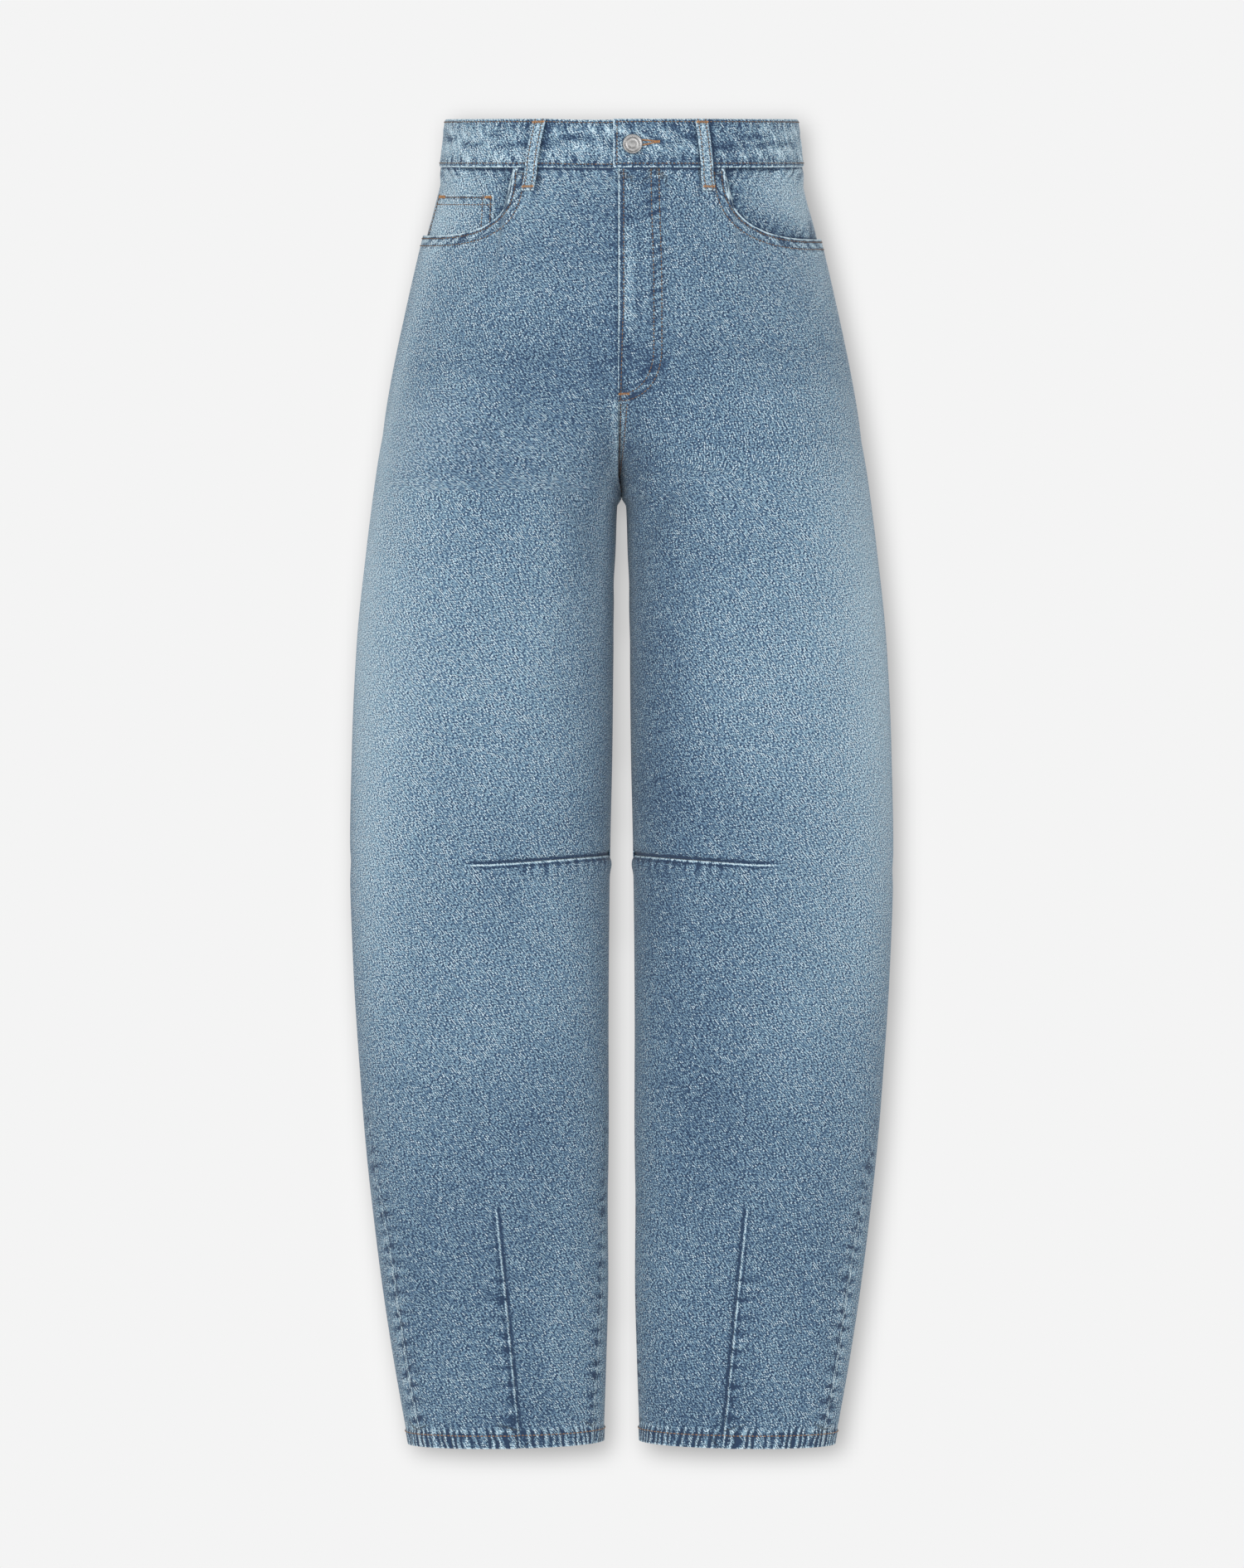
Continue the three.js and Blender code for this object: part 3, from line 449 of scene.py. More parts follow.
print("shell builder ready")

# %% [markdown]
# ## Front panels
# Each front panel runs from the rise seam and inseam to the outseam. Its waist end is scooped out for the
# pocket, a dart closes it at the knee and another at the hem. Rows lie closer together at the knee dart and
# columns at the hem dart, where the form turns sharply; elsewhere a step of about 3.5 mm is enough.

# %% Rows and columns of the panels
HEM_DEPTH, HEM_ROW = 11, 10.2  # the fold and the row of stitches, above the bottom edge
MOUTHS = {-1: (85.2, 70.5, 54.3, 2.73), 1: (80.7, 76.3, 57.3, 2.5)}  # inner end, span, depth, roundness
MOUTH_ENDS = -150


def rows_between(*stretches):
    parts = [np.arange(start, stop, -step) for start, stop, step in stretches]
    return np.concatenate(parts + [[stretches[-1][1]]])


BODY_ROWS = rows_between((-190, -280, 3.4), (-280, -320, 1.6), (-320, -560, 3.6), (-560, -578, 2.4),
                         (-578, -598, 1.1), (-598, -616, 2.4), (-616, -1030, 3.6), (-1030, -1055, 1.3))
FRONT_ROWS = np.concatenate([np.arange(-38, -190, -3.0), BODY_ROWS])
BACK_ROWS = np.concatenate([np.arange(-104, -190, -3.0), BODY_ROWS])
DART_STEPS = np.array([7.5, 6, 4.6, 3.4, 2.4, 1.6, 0.9, 0.3])


def mouth_level(x, leg):
    start, across, depth, power = MOUTHS[leg]
    run = np.clip((start + across - x) / across, 0, 1)
    return np.where(x <= start, -BAND_HEIGHT, -BAND_HEIGHT - depth * (1 - run ** power) ** (1 / power))


def front_angles(level, leg, gap):
    """Angles of all columns of a front panel at each level, from the rise and inseam to the outseam."""
    half = round_mm(level)[..., None]
    inner = inner_angle(level, leg, True)[..., None] - gap / half
    outer = outseam_angle(level)[..., None] + gap / half
    dart = dart_angle(level, leg)[..., None]
    reach = 9 / half
    inside = mix(inner, dart + reach, np.linspace(0, 1, 42)[:-1])
    outside = mix(dart - reach, outer, np.linspace(0, 1, 42)[1:])
    steps = np.concatenate([[9], DART_STEPS, [0], -DART_STEPS[::-1], [-9]]) / half
    return np.concatenate([inside, dart + steps, outside], axis=-1)


def front_tops(leg):
    columns = front_angles(np.array([-60.0]), leg, SEAM_GAP / 2).shape[-1]
    level = np.full(columns, -float(BAND_HEIGHT))
    for _ in range(30):
        angle = np.diagonal(front_angles(level, leg, SEAM_GAP / 2))
        x = np.abs(form_point(level, angle, leg)[..., 0])
        level = mix(level, mouth_level(x, leg), 0.4)
    return level - SEAM_GAP / 2


print("rows:", len(FRONT_ROWS), "columns:", front_angles(np.array([-60.0]), 1, 0.15).shape[-1])

# %% [markdown]
# ## Pull of the seams
# A washed seam shrinks more than the cloth beside it, so the cloth puckers in short ridges across it, about
# 10 mm apart. Every vertex stores how strongly it is pulled, and where along its seam it lies. The shader
# makes ridges from the two, with painted shade in their hollows, which stay crisp without a finer mesh.

# %% Seam pull of the front and back panels
FLY_EDGE_X, FLY_BEND = -1.7, -184


def mouth_distance(level, x, leg):
    """Distance from the pocket mouth's edge in millimetres: more than 0 on the panel, less on the facing."""
    start, across, depth, power = MOUTHS[leg]
    down = np.clip((-BAND_HEIGHT - level) / depth, 0, 1)
    below = mouth_level(np.minimum(x, start + across), leg) - level
    inward = start + across - across * (1 - down ** power) ** (1 / power) - x
    inward = np.where(level < -BAND_HEIGHT - depth, below * 50, inward)
    near = np.abs(below * inward / np.maximum(np.hypot(below, inward), 1e-6))
    near = np.where((below > 0) & (inward > 0), near, -near)
    return np.where((x > start - 20) & (level > -135), near, 200)


def strongest(candidates):
    """candidates are (weight, place along the seam in ridges); the heaviest wins, and the pull fades out
    where two are equal, so that their ridges never clash."""
    weights = np.stack([np.broadcast_arrays(w, s)[0] for w, s in candidates])
    places = np.stack([np.broadcast_arrays(w, s)[1] for w, s in candidates])
    pick = np.argmax(weights, axis=0)[None]
    ranked = np.sort(weights, axis=0)
    clear = smooth((ranked[-1] - ranked[-2]) / 0.12)
    return ranked[-1] * clear, np.take_along_axis(places, pick, 0)[0]


def nearest(lines):
    """lines are (signed distance in mm, crispness); gives both for the nearest one, within 60 mm."""
    signed = np.stack([np.broadcast_arrays(d, c)[0] for d, c in lines])
    crisp = np.stack([np.broadcast_arrays(d, c)[1] for d, c in lines])
    pick = np.argmin(np.abs(signed), axis=0)[None]
    near = np.clip(np.take_along_axis(signed, pick, 0)[0], -60, 60)
    fade = 1 - smooth((np.abs(near) - 7) / 3)  # no line where two seams are equally far
    return near, np.take_along_axis(crisp, pick, 0)[0] * fade


def fall(distance, width):
    return np.exp(-((np.maximum(distance, 0) / width) ** 1.6))


def fly_curve(level, x):
    """Distance outward from the middle of the J-shaped rows of the fly."""
    low = np.hypot((x - FLY_EDGE_X) / 29.6, np.minimum(level - FLY_BEND, 0) / 42) - 1
    straight = x - mix(26, 28.2, smooth((-40 - level) / 100))
    return np.where(x < 60, np.where(level > FLY_BEND, straight, low * 33), 99)


def front_pull(level, angle, leg, x):
    half = round_mm(level)
    to_outseam = (angle - outseam_angle(level)) * half
    to_inner = (inner_angle(level, leg, True) - angle) * half
    low = smooth((-760 - level) / 120)
    share = dart_share(level, angle, leg)
    under_knee = knee_dart(share) - level
    to_hem_dart = (dart_angle(level, leg) - angle) * half
    to_hem = level - HEM_LEVEL
    rise = smooth((level + 320) / 30)
    return strongest([
        (fall(to_outseam, 11) * mix(0.12, 1.25, low), level / 12.5),
        (fall(to_inner, 10) * mix(0.16, 1.15, low) * (1 - rise), level / 13.0 + 0.4),
        (fall(to_inner, 8) * (0.5 if leg > 0 else 0.35) * rise, level / 10.5),
        (np.where(under_knee > 0, fall(under_knee, 10), 0) * smooth((1.0 - share) / 0.3),
         angle * half / 11.0),
        (np.where(to_hem_dart > 0, fall(to_hem_dart, 9), 0) * 1.15
         * smooth((HEM_DART_TIP - 20 - level) / 60), level / 14.0 + 0.2),
        (fall(np.abs(to_hem - 5) - 6, 5) * 1.9, angle * half / 6.4),
        (fall(mouth_distance(level, x, leg) - 3, 8), (x + level) / 8.5),
        (fall(np.abs(fly_curve(level, x)), 7) * (0.8 if leg > 0 else 0), (level - 0.4 * x) / 8.0),
        (fall(-BAND_HEIGHT - level, 9) * 0.7, (x - 0.5 * level) / 8.2),
    ])


def front_line(level, angle, leg, x):
    """Signed distance to the nearest seam line: more than 0 on the piece, less where another piece covers it.
    The shader draws from it the painted shadow under a covering edge, the pale fold, worn and partly a painted
    highlight, and the painted shade in the groove of the stitches."""
    half = round_mm(level)
    share = dart_share(level, angle, leg)
    low = smooth((-800 - level) / 160)
    knee_end = smooth((1.10 - share) / 0.06)
    rise = smooth((level + 312) / 8)
    hem_end = smooth((HEM_DART_TIP + 2 - level) / 6)
    to_inner = (inner_angle(level, leg, True) - angle) * half
    knee = np.where(share < 1.14, knee_dart(share) - level, 60)
    hem_dart = np.where(level < HEM_DART_TIP + 10, (dart_angle(level, leg) - angle) * half, 60)
    if leg > 0:  # the left panel laps over at the fly, so its edge shows; the right one goes under
        centre, centre_crisp = to_inner + rise, mix(0.8, 1.6, smooth((level + 226) / 6))
    else:
        centre, centre_crisp = mix(to_inner, -to_inner, rise), 0.35
    return nearest([
        ((angle - outseam_angle(level)) * half, mix(0.35, 1.25, low)),
        (centre, mix(mix(0.4, 0.7, low), centre_crisp, rise)),
        (knee, 1.5 * knee_end), (hem_dart, 1.05 * hem_end),
        (level - HEM_LEVEL + 0.9, 0.7), (mouth_distance(level, x, leg) + 0.7, 1.6),
        (level + BAND_HEIGHT, 1.5), (np.full_like(level, 60.0), 0.0)])


print("seam pull ready")

# %% [markdown]
# ## Wear and painted shade on the front panels
# Beside its seams cloth is worn in its own way: pale streaks down the fly, a pale strip between the twin rows
# of the pocket mouth, rubbed cloth along the centre seam and a pale fold at the hem. With them go painted shade
# in the dips of the lower mouth row and of the hem stitches, and painted light over the shade of the centre
# seam's valley. Painting them would need an image, so each is a soft bell over the distance from its seam. The
# fly also stands up a little, as the laid-over layers do.

# %% Wear, painted shade, fly and hem
FLY_WIDTH, FLY_LIFT = 31, 0.9
FLY_STREAKS = [  # x, half width, tone
    (4.0, 1.2, 0.22), (9.0, 1.5, 0.10), (13.2, 1.7, -0.26), (19, 2.6, 0.12), (24, 1.8, -0.12),
    (5.5, 5.5, 0.24)]
FLY_BLOTS = [  # x, level, half width, half height, tone
    (15, -47, 4, 6, -0.20), (21, -68, 4, 9, -0.18), (8, -76, 3, 6, -0.20), (27, -56, 3, 8, -0.12),
    (4, -56, 2, 6, 0.18), (12, -60, 2, 5, 0.12), (5, -186, 3, 7, -0.24), (11, -205, 4, 5, 0.18),
    (20, -214, 5, 5, -0.16), (26, -198, 3, 6, -0.14), (3, -215, 2.5, 5, -0.18), (16, -176, 3, 8, 0.12)]
HEM_WALL, HEM_LIFT = 2.6, 0.6
LOOPS = {"front_right": (-63.4, -73, True), "front_left": (61.6, 67.8, True),  # top x, bottom x, in front
         "back_right": (-79, -86, False), "back_left": (79, 86, False), "back_centre": (0, 0, False)}
LOOP_RUN = 56


def fly_lift(level, x, leg):
    reach = FLY_WIDTH * np.sqrt(np.clip((level - FLY_END) / 30, 0, 1))
    lift = FLY_LIFT * smooth((reach + 6 - x) / 6) * smooth((level - FLY_END) / 2)
    return lift if leg > 0 else 0 * lift


def fly_wear(level, x, leg):
    """Pale streaks rubbed down the fly between its edge and its stitches."""
    if leg < 0:
        return 0 * level
    long = smooth((-62 - level) / 40) * smooth((level + 196) / 46)
    streaks = sum(h * np.exp(-(((x - at) / w) ** 2)) for at, w, h in FLY_STREAKS)
    blots = sum(h * np.exp(-(((x - at) / w) ** 2) - ((level - z) / t) ** 2) for at, z, w, t, h in FLY_BLOTS)
    under = 0.09 * np.exp(-(((x - 14) / 14) ** 2)) * smooth((level + 230) / 20)
    return streaks * long + blots - under


def mouth_wear_and_shade(level, x, leg):
    """Between the twin rows of the pocket mouth the cloth is pale, and the lower row sits in a dip of painted
    shade.
    """
    down = mouth_distance(level, x, leg)
    return (0.18 * np.exp(-(((down - 5.2) / 1.5) ** 2)) - 0.26 * np.exp(-(((down - 8.2) / 1.3) ** 2))
            + 0.10 * np.exp(-(((down - 11) / 2.0) ** 2)))


def centre_wear_and_light(level, angle, leg):
    """Rubbed cloth along the centre seam between the end of the fly and the crotch, with painted light over the
    shade of the seam's valley.
    """
    to_inner = (inner_angle(level, leg, True) - angle) * round_mm(level)
    return 0.45 * np.exp(-((to_inner / 8) ** 2)) * smooth((-222 - level) / 12) * smooth((level + 330) / 20)


def hem_wear_and_shade(level):
    """Pale fold and bottom edge of the hem, with painted shade in the dip of its stitches between them."""
    up = level - HEM_LEVEL
    return (0.30 * np.exp(-(((up - 14.0) / 1.9) ** 2)) - 0.10 * np.exp(-(((up - HEM_ROW) / 1.5) ** 2))
            + 0.26 * np.exp(-(((up - 2.5) / 2.6) ** 2)))


def hem_lift(level):
    return HEM_LIFT * smooth((HEM_LEVEL + HEM_DEPTH + 0.8 - level) / 1.2)


def cloth_height(level, angle, leg):
    return fold_height(level, angle, leg, FOLDS) + fold_height(level, angle, leg, FINE_FOLDS)


def loop_shade(x, y, level):
    """Dark beside the front belt loops, more on the side away from the light."""
    shade = np.zeros(np.broadcast(x, level).shape)
    for top_x, low_x, in_front in LOOPS.values():
        if in_front:
            off = x - mix(top_x, low_x, -level / LOOP_RUN)
            shade = shade - 0.50 * np.exp(-(((off - 6.2) / 3.0) ** 2))
            shade = shade - 0.20 * np.exp(-(((off + 6.0) / 2.4) ** 2))
    return shade * (y < 0) * smooth((level + 62) / 6)


print("fly streaks:", len(FLY_STREAKS), "blots:", len(FLY_BLOTS))

# %% Front panels
def front_grid(leg):
    tops = front_tops(leg)
    base = FRONT_ROWS[:, None]
    down = np.clip((FRONT_ROWS[0] - base) / (FRONT_ROWS[0] - MOUTH_ENDS), 0, 1)
    level = np.where(base > MOUTH_ENDS, mix(tops[None, :], MOUTH_ENDS, down), base)
    angle = np.stack([np.diagonal(front_angles(row, leg, SEAM_GAP / 2)) for row in level])
    middle, outseam = dart_angle(level, leg), outseam_angle(level)
    outward = np.clip((middle - angle) / (middle - outseam), 0, 1)
    drop = np.exp(-(((base - KNEE_DART_LEVEL) / 30) ** 2))
    level = level - knee_drop(dart_share(level, angle, leg)) * drop * (1 - smooth(outward))
    angle = np.stack([np.diagonal(front_angles(row, leg, SEAM_GAP / 2)) for row in level])
    return level, angle


def front_panel(side, leg):
    level, angle = front_grid(leg)
    point, normal = form_point(level, angle, leg), form_normal(level, angle, leg)
    x = np.abs(point[..., 0])
    to_left = leg * point[..., 0]
    lift = cloth_height(level, angle, leg) + dart_height(level, angle, leg)
    lift = lift + fly_lift(level, to_left, leg) + hem_lift(level)
    wall = WALL + (HEM_WALL - WALL) / HEM_LIFT * hem_lift(level)
    outer = point + normal * lift[..., None]
    inner = outer - normal * wall[..., None]
    pull, place = front_pull(level, angle, leg, x)
    edge, crisp = front_line(level, angle, leg, x)
    # wash with painted shade: painted shadow beside the belt loops, painted shade in the stitch dips, painted
    # light along the centre seam
    wash_and_shade = wash_and_shade_tone(level, angle, leg) + fly_wear(level, to_left, leg) + hem_wear_and_shade(level)
    wash_and_shade = wash_and_shade + centre_wear_and_light(level, angle, leg) + mouth_wear_and_shade(level, x, leg)
    wash_and_shade = wash_and_shade + loop_shade(point[..., 0], point[..., 1], level)
    values = {"wash_and_shade": wash_and_shade, "pull": pull, "place": place, "edge": edge * MM, "crisp": crisp}
    return cloth_shell(f"front_cloth_{side}", outer, inner, normal, thread_uv(point, 50, leg), values)


LEGS = {"right": -1, "left": 1}
fronts = {side: front_panel(side, leg) for side, leg in LEGS.items()}
for side, obj in fronts.items():
    print(obj.name, len(obj.data.polygons), "faces")

# %% [markdown]
# ## Back panels and yokes
# Behind, the yoke shapes the seat: its seam dips towards the centre. The back panel hangs from it. Only a
# strip beside the lower seams shows in the photograph, so the rest follows the usual cut, with folds under the seat and behind the knees.

# %% Back panels and yokes
YOKE_SIDE_LEVEL, YOKE_CENTRE_LEVEL = -71, -104
YOKE_ENDS = -190
BACK_STEPS = 92


def yoke_level(share):
    return mix(YOKE_CENTRE_LEVEL, YOKE_SIDE_LEVEL, share)


def back_angle(level, leg, share):
    gap = SEAM_GAP / 2 / round_mm(level)
    return mix(inner_angle(level, leg, False) + gap, outseam_angle(level) - gap, share)


def back_pull(level, angle, leg, share):
    half = leg_section(level, False)[1]
    to_outseam = (outseam_angle(level) - angle) * half
    to_inner = (angle - inner_angle(level, leg, False)) * half
    low = smooth((-760 - level) / 120)
    rise = smooth((level + 320) / 30)
    to_hem = level - HEM_LEVEL
    return strongest([
        (fall(to_outseam, 11) * mix(0.12, 1.3, low), level / 12.5 + 0.3),
        (fall(to_inner, 10) * mix(0.2, 0.85, low) * (1 - rise), level / 13.0 + 0.4),
        (fall(to_inner, 10) * 0.6 * rise, level / 10.5),
        (fall(np.abs(to_hem - 5) - 6, 5) * 1.9, angle * half / 6.4),
        (fall(np.abs(level - yoke_level(share)), 9) * 0.6, share * 14),
        (fall(np.abs(level + BAND_HEIGHT), 8) * 0.5, share * 15 + 0.3),
    ])


def back_line(level, angle, leg, share):
    half = leg_section(level, False)[1]
    low = smooth((-800 - level) / 160)
    return nearest([
        ((outseam_angle(level) - angle) * half, mix(0.35, 0.8, low)),
        ((angle - inner_angle(level, leg, False)) * half, mix(0.45, 0.8, low)),
        (level - HEM_LEVEL + 0.9, 0.7), (level - yoke_level(share), 1.0),
        (level + BAND_HEIGHT, 1.1), (np.full_like(level, 60.0), 0.0)])


def back_shell(name, level, angle, share, leg, lift, wall):
    point, normal = form_point(level, angle, leg), form_normal(level, angle, leg)
    outer = point + normal * lift[..., None]
    inner = outer - normal * wall[..., None]
    pull, place = back_pull(level, angle, leg, share)
    edge, crisp = back_line(level, angle, leg, share)
    strip = np.maximum(fall((outseam_angle(level) - angle) * round_mm(level), 16),
                       fall((angle - inner_angle(level, leg, False)) * round_mm(level), 16))
    # the table's wash and painted shade, and the hem's pale fold with painted shade in its stitch dip
    wash_and_shade = wash_and_shade_tone(level, angle, leg) + hem_wear_and_shade(level) + 0.14 * strip * smooth((-780 - level) / 140)
    values = {"wash_and_shade": wash_and_shade, "pull": pull, "place": place, "edge": edge * MM, "crisp": crisp}
    return cloth_shell(name, outer, inner, normal, thread_uv(point, BACK_STEPS // 2, -leg), values)


def back_panel(side, leg):
    share = np.linspace(0, 1, BACK_STEPS)[None, :]
    base = BACK_ROWS[:, None]
    down = np.clip((BACK_ROWS[0] - base) / (BACK_ROWS[0] - YOKE_ENDS), 0, 1)
    level = np.where(base > YOKE_ENDS, mix(yoke_level(share) - SEAM_GAP / 2, YOKE_ENDS, down), base)
    share = np.broadcast_to(share, level.shape)
    angle = back_angle(level, leg, share)
    lift = cloth_height(level, angle, leg) + hem_lift(level)
    wall = WALL + (HEM_WALL - WALL) / HEM_LIFT * hem_lift(level)
    return back_shell(f"back_cloth_{side}", level, angle, share, leg, lift, wall)


def yoke(side, leg):
    share = np.linspace(0, 1, BACK_STEPS)[None, :]
    down = np.linspace(0, 1, 22)[:, None]
    level = mix(-BAND_HEIGHT - SEAM_GAP / 2, yoke_level(share) + SEAM_GAP / 2, down)
    share = np.broadcast_to(share, level.shape)
    angle = back_angle(level, leg, share)
    flat = np.zeros_like(level)
    return back_shell(f"yoke_cloth_{side}", level, angle, share, leg, flat, flat + WALL)


backs = {side: back_panel(side, leg) for side, leg in LEGS.items()}
yokes = {side: yoke(side, leg) for side, leg in LEGS.items()}
for obj in [*backs.values(), *yokes.values()]:
    print(obj.name, len(obj.data.polygons), "faces")

# %% [markdown]
# ## Pocket facings, coin pocket and back pockets
# Inside the scooped mouth the hip is closed by a facing, set a little deeper than the front panel so that
# the mouth has an edge. The coin pocket lies on the right one. The back pockets are plain patches. All are
# small grids made with the same builder.

# %% Pocket pieces
FACING_INSET, FACING_HEIGHT, FACING_INNER_X, FACING_UNDERLAP, FACING_TOP_INSET = 3.5, 68, 72, 8, 0.5
COIN_RIGHT_X, COIN_LEFT_ANGLE, COIN_TOP, COIN_BOTTOM, COIN_WALL = 101.5, 11, -59, -103, 1.0
PATCH_TOP, PATCH_SIDE, PATCH_POINT, PATCH_IN_X, PATCH_OUT_X = -124, -240, 22, 24, 152
PATCH_TAPER, PATCH_WALL, PATCH_GAP = 7, 1.3, 0.6


def grid(rows, columns):
    return np.meshgrid(np.linspace(0, 1, rows), np.linspace(0, 1, columns), indexing="ij")


def facing_rise(level, share):
    at_outseam = (FACING_INSET - WALL - SEAM_GAP) * smooth((share - 0.74) / 0.2)
    at_band = (FACING_INSET - FACING_TOP_INSET) * smooth((level + 56) / 14) * smooth((share - 0.34) / 0.12)
    at_band = at_band * smooth((0.97 - share) / 0.07)
    return np.maximum(at_outseam, at_band)


def facing(side, leg):
    down, share = grid(30, 44)
    level = mix(-BAND_HEIGHT - SEAM_GAP / 2, -BAND_HEIGHT - FACING_HEIGHT, down)
    start = angle_at_x(level, True, FACING_INNER_X)
    angle = mix(start, outseam_angle(level) - FACING_UNDERLAP / round_mm(level), share)
    point, normal = form_point(level, angle, leg), form_normal(level, angle, leg)
    ripple = 0.35 * np.sin(share * 31 + down * 9 + leg) * smooth((0.8 - down) / 0.5)  # soft waves
    lift = facing_rise(level, share) - FACING_INSET + ripple
    outer = point + normal * lift[..., None]
    x = np.abs(point[..., 0])
    to_mouth = mouth_distance(level, x, leg)
    pull = np.maximum(fall(np.abs(to_mouth), 9) * 0.75, fall(-BAND_HEIGHT - level, 9) * 0.9)
    # painted shadow on the facing under the edge of the pocket mouth
    shade = 0.03 + 0.30 * fall(np.abs(to_mouth), 12)
    if leg > 0:  # the facing stands up along the outseam, with a dark hollow at the foot
        # painted shade in the hollow at the foot of the standing facing, then a pale line along its top
        shade = shade - 0.12 * np.exp(-(((x - 147) / 4) ** 2))
        shade = shade + 0.34 * np.exp(-(((x - 152.8) / 1.6) ** 2)) * smooth((-78 - level) / 6)
    values = {"wash_and_shade": wash_and_shade_tone(level, angle, leg) - shade, "pull": pull, "place": (x - 0.5 * level) / 8.5,
              "edge": np.maximum(np.minimum(to_mouth, 0), level + BAND_HEIGHT) * MM,
              "crisp": 1.0 + 0 * level}
    inner = outer - normal * WALL
    return cloth_shell(f"facing_cloth_{side}", outer, inner, normal, thread_uv(point, 20, leg), values)


def coin_pocket():
    down, share = grid(28, 34)
    level = mix(COIN_TOP, COIN_BOTTOM, down)
    angle = mix(angle_at_x(level, True, COIN_RIGHT_X), math.radians(COIN_LEFT_ANGLE), share)
    point, normal = form_point(level, angle, -1), form_normal(level, angle, -1)
    rim = np.minimum.reduce([down * 44, share * 62, (1 - share) * 62])
    lift = SEAM_GAP - FACING_INSET + COIN_WALL * mix(0.7, 1.15, smooth(rim / 4))
    outer, inner = point + normal * lift[..., None], point + normal * (SEAM_GAP - FACING_INSET)
    values = {"wash_and_shade": wash_and_shade_tone(level, angle, -1) - 0.04, "pull": fall(rim, 7) * 0.7,
              "place": (share * 62 + down * 40) / 8.0, "edge": (rim + 0.9) * MM, "crisp": 0.9 + 0 * rim}
    return cloth_shell("coin_cloth", outer, inner, normal, thread_uv(point, 17, -1), values)


def patch_lines(down, share):
    bottom = PATCH_SIDE - PATCH_POINT * (1 - np.abs(2 * share - 1))
    level = mix(PATCH_TOP, bottom, down)
    x = mix(PATCH_IN_X + PATCH_TAPER * down, PATCH_OUT_X - PATCH_TAPER * down, share)
    return level, angle_at_x(level, False, x)


def back_pocket(side, leg):
    down, share = grid(46, 46)
    level, angle = patch_lines(down, share)
    point, normal = form_point(level, angle, leg), form_normal(level, angle, leg)
    rim = np.minimum.reduce([down * 122, (1 - down) * 130, share * 150, (1 - share) * 150])
    base = cloth_height(level, angle, leg) + PATCH_GAP
    lift = base + PATCH_WALL * mix(0.75, 1.25, smooth(rim / 5))
    outer, inner = point + normal * lift[..., None], point + normal * base[..., None]
    values = {"wash_and_shade": wash_and_shade_tone(level, angle, leg) + 0.04, "pull": fall(rim, 9) * 0.6,
              "place": np.where(np.minimum(share, 1 - share) * 150 < rim + 0.1, level, share * 150) / 9.5,
              "edge": (rim + 0.9) * MM, "crisp": 0.9 + 0 * rim}
    return cloth_shell(f"patch_cloth_{side}", outer, inner, normal, thread_uv(point, 23, -leg), values)


facings = {side: facing(side, leg) for side, leg in LEGS.items()}
coin = coin_pocket()
patches = {side: back_pocket(side, leg) for side, leg in LEGS.items()}
print("pocket pieces:", len(facings) + len(patches) + 1)

# %% [markdown]
# ## Waistband
# The waistband is one doubled strip. It starts under the lap in front, goes round the wearer's right, the
# back and the left, and ends on top of its own start. It is swept as a ring of sections, with soft folded
# edges and a ripple that washing leaves between its two rows of stitches.

# %% Waistband
BAND_LIFT, BAND_WALL, BAND_END_X, BAND_UNDER_X = 1.0, 2.8, -6.5, 36
BAND_UNDER_INSET, BAND_UNDER_FROM, BAND_UNDER_TO = 3.2, 100, 114
BAND_STATIONS, BAND_REACH = 800, 114.0  # sections, and millimetres of strip per radian
CREASE_HEIGHT = 0.5


def band_turn(level, along):
    outer = form["outer"](level)
    start = np.arccos(signed_power(BAND_UNDER_X / outer, SECTION_POWER / 2))
    end = np.arccos(signed_power(BAND_END_X / outer, SECTION_POWER / 2)) + 2 * np.pi
    return mix(start, end, along)


def band_frame(level, turn):
    angle = np.arctan2(np.sin(turn), np.cos(turn))
    return form_point(level, angle, 1), form_normal(level, angle, 1)


def band_creases():
    """Random creases of the doubled strip: short ones that slant down to the wearer's left, shorter upright
    ones at the two rows of stitches, and long troughs along its middle."""
    rows = []
    for place in np.arange(140, 910, 4.6):
        level = rng.uniform(-33, -5)
        rows.append((place, level, rng.uniform(3.5, 8), rng.uniform(1.1, 1.9), rng.uniform(35, 72),
                     rng.uniform(0.5, 1.0)))
    for place in np.arange(142, 910, 5.2):
        top = rng.uniform() < 0.5
        level = -5.5 if top else -32
        rows.append((place + rng.uniform(-2, 2), level, rng.uniform(2.5, 4.5), rng.uniform(1.0, 1.7),
                     rng.uniform(60, 105), -rng.uniform(0.6, 1.1)))
    for place in np.arange(145, 910, 17):
        rows.append((place + rng.uniform(-6, 6), rng.uniform(-23, -12), rng.uniform(7, 15),
                     rng.uniform(1.8, 3.0), rng.uniform(-12, 20), -rng.uniform(0.5, 1.1)))
    return rows


def band_run(turn):
    """Distance along the strip in millimetres, from the wearer's left side, in front."""
    return turn * BAND_REACH


CREASES = band_creases()


def band_ripple(level, turn):
    """Height of the creases, from about -1 in a trough to 1 on a ridge."""
    run = band_run(turn)
    height = np.zeros(np.broadcast(level, turn).shape)
    for place, at, length, width, slant, peak in CREASES:
        near = np.abs(run - place) < 34
        if not near.any():
            continue
        c, s = math.cos(math.radians(slant)), math.sin(math.radians(slant))
        across, up = (run - place)[near], (level - at)[near]
        along, aside = across * c + up * s, up * c - across * s
        height[near] += peak * np.exp(-((along / length) ** 2) - (aside / width) ** 2)
    held = smooth(-level / 5) * smooth((level + BAND_HEIGHT) / 6)
    return np.clip(height, -1.6, 1.3) * held


def band_under(turn):
    out = smooth((np.degrees(turn) - BAND_UNDER_FROM) / (BAND_UNDER_TO - BAND_UNDER_FROM))
    return BAND_UNDER_INSET * (1 - out)


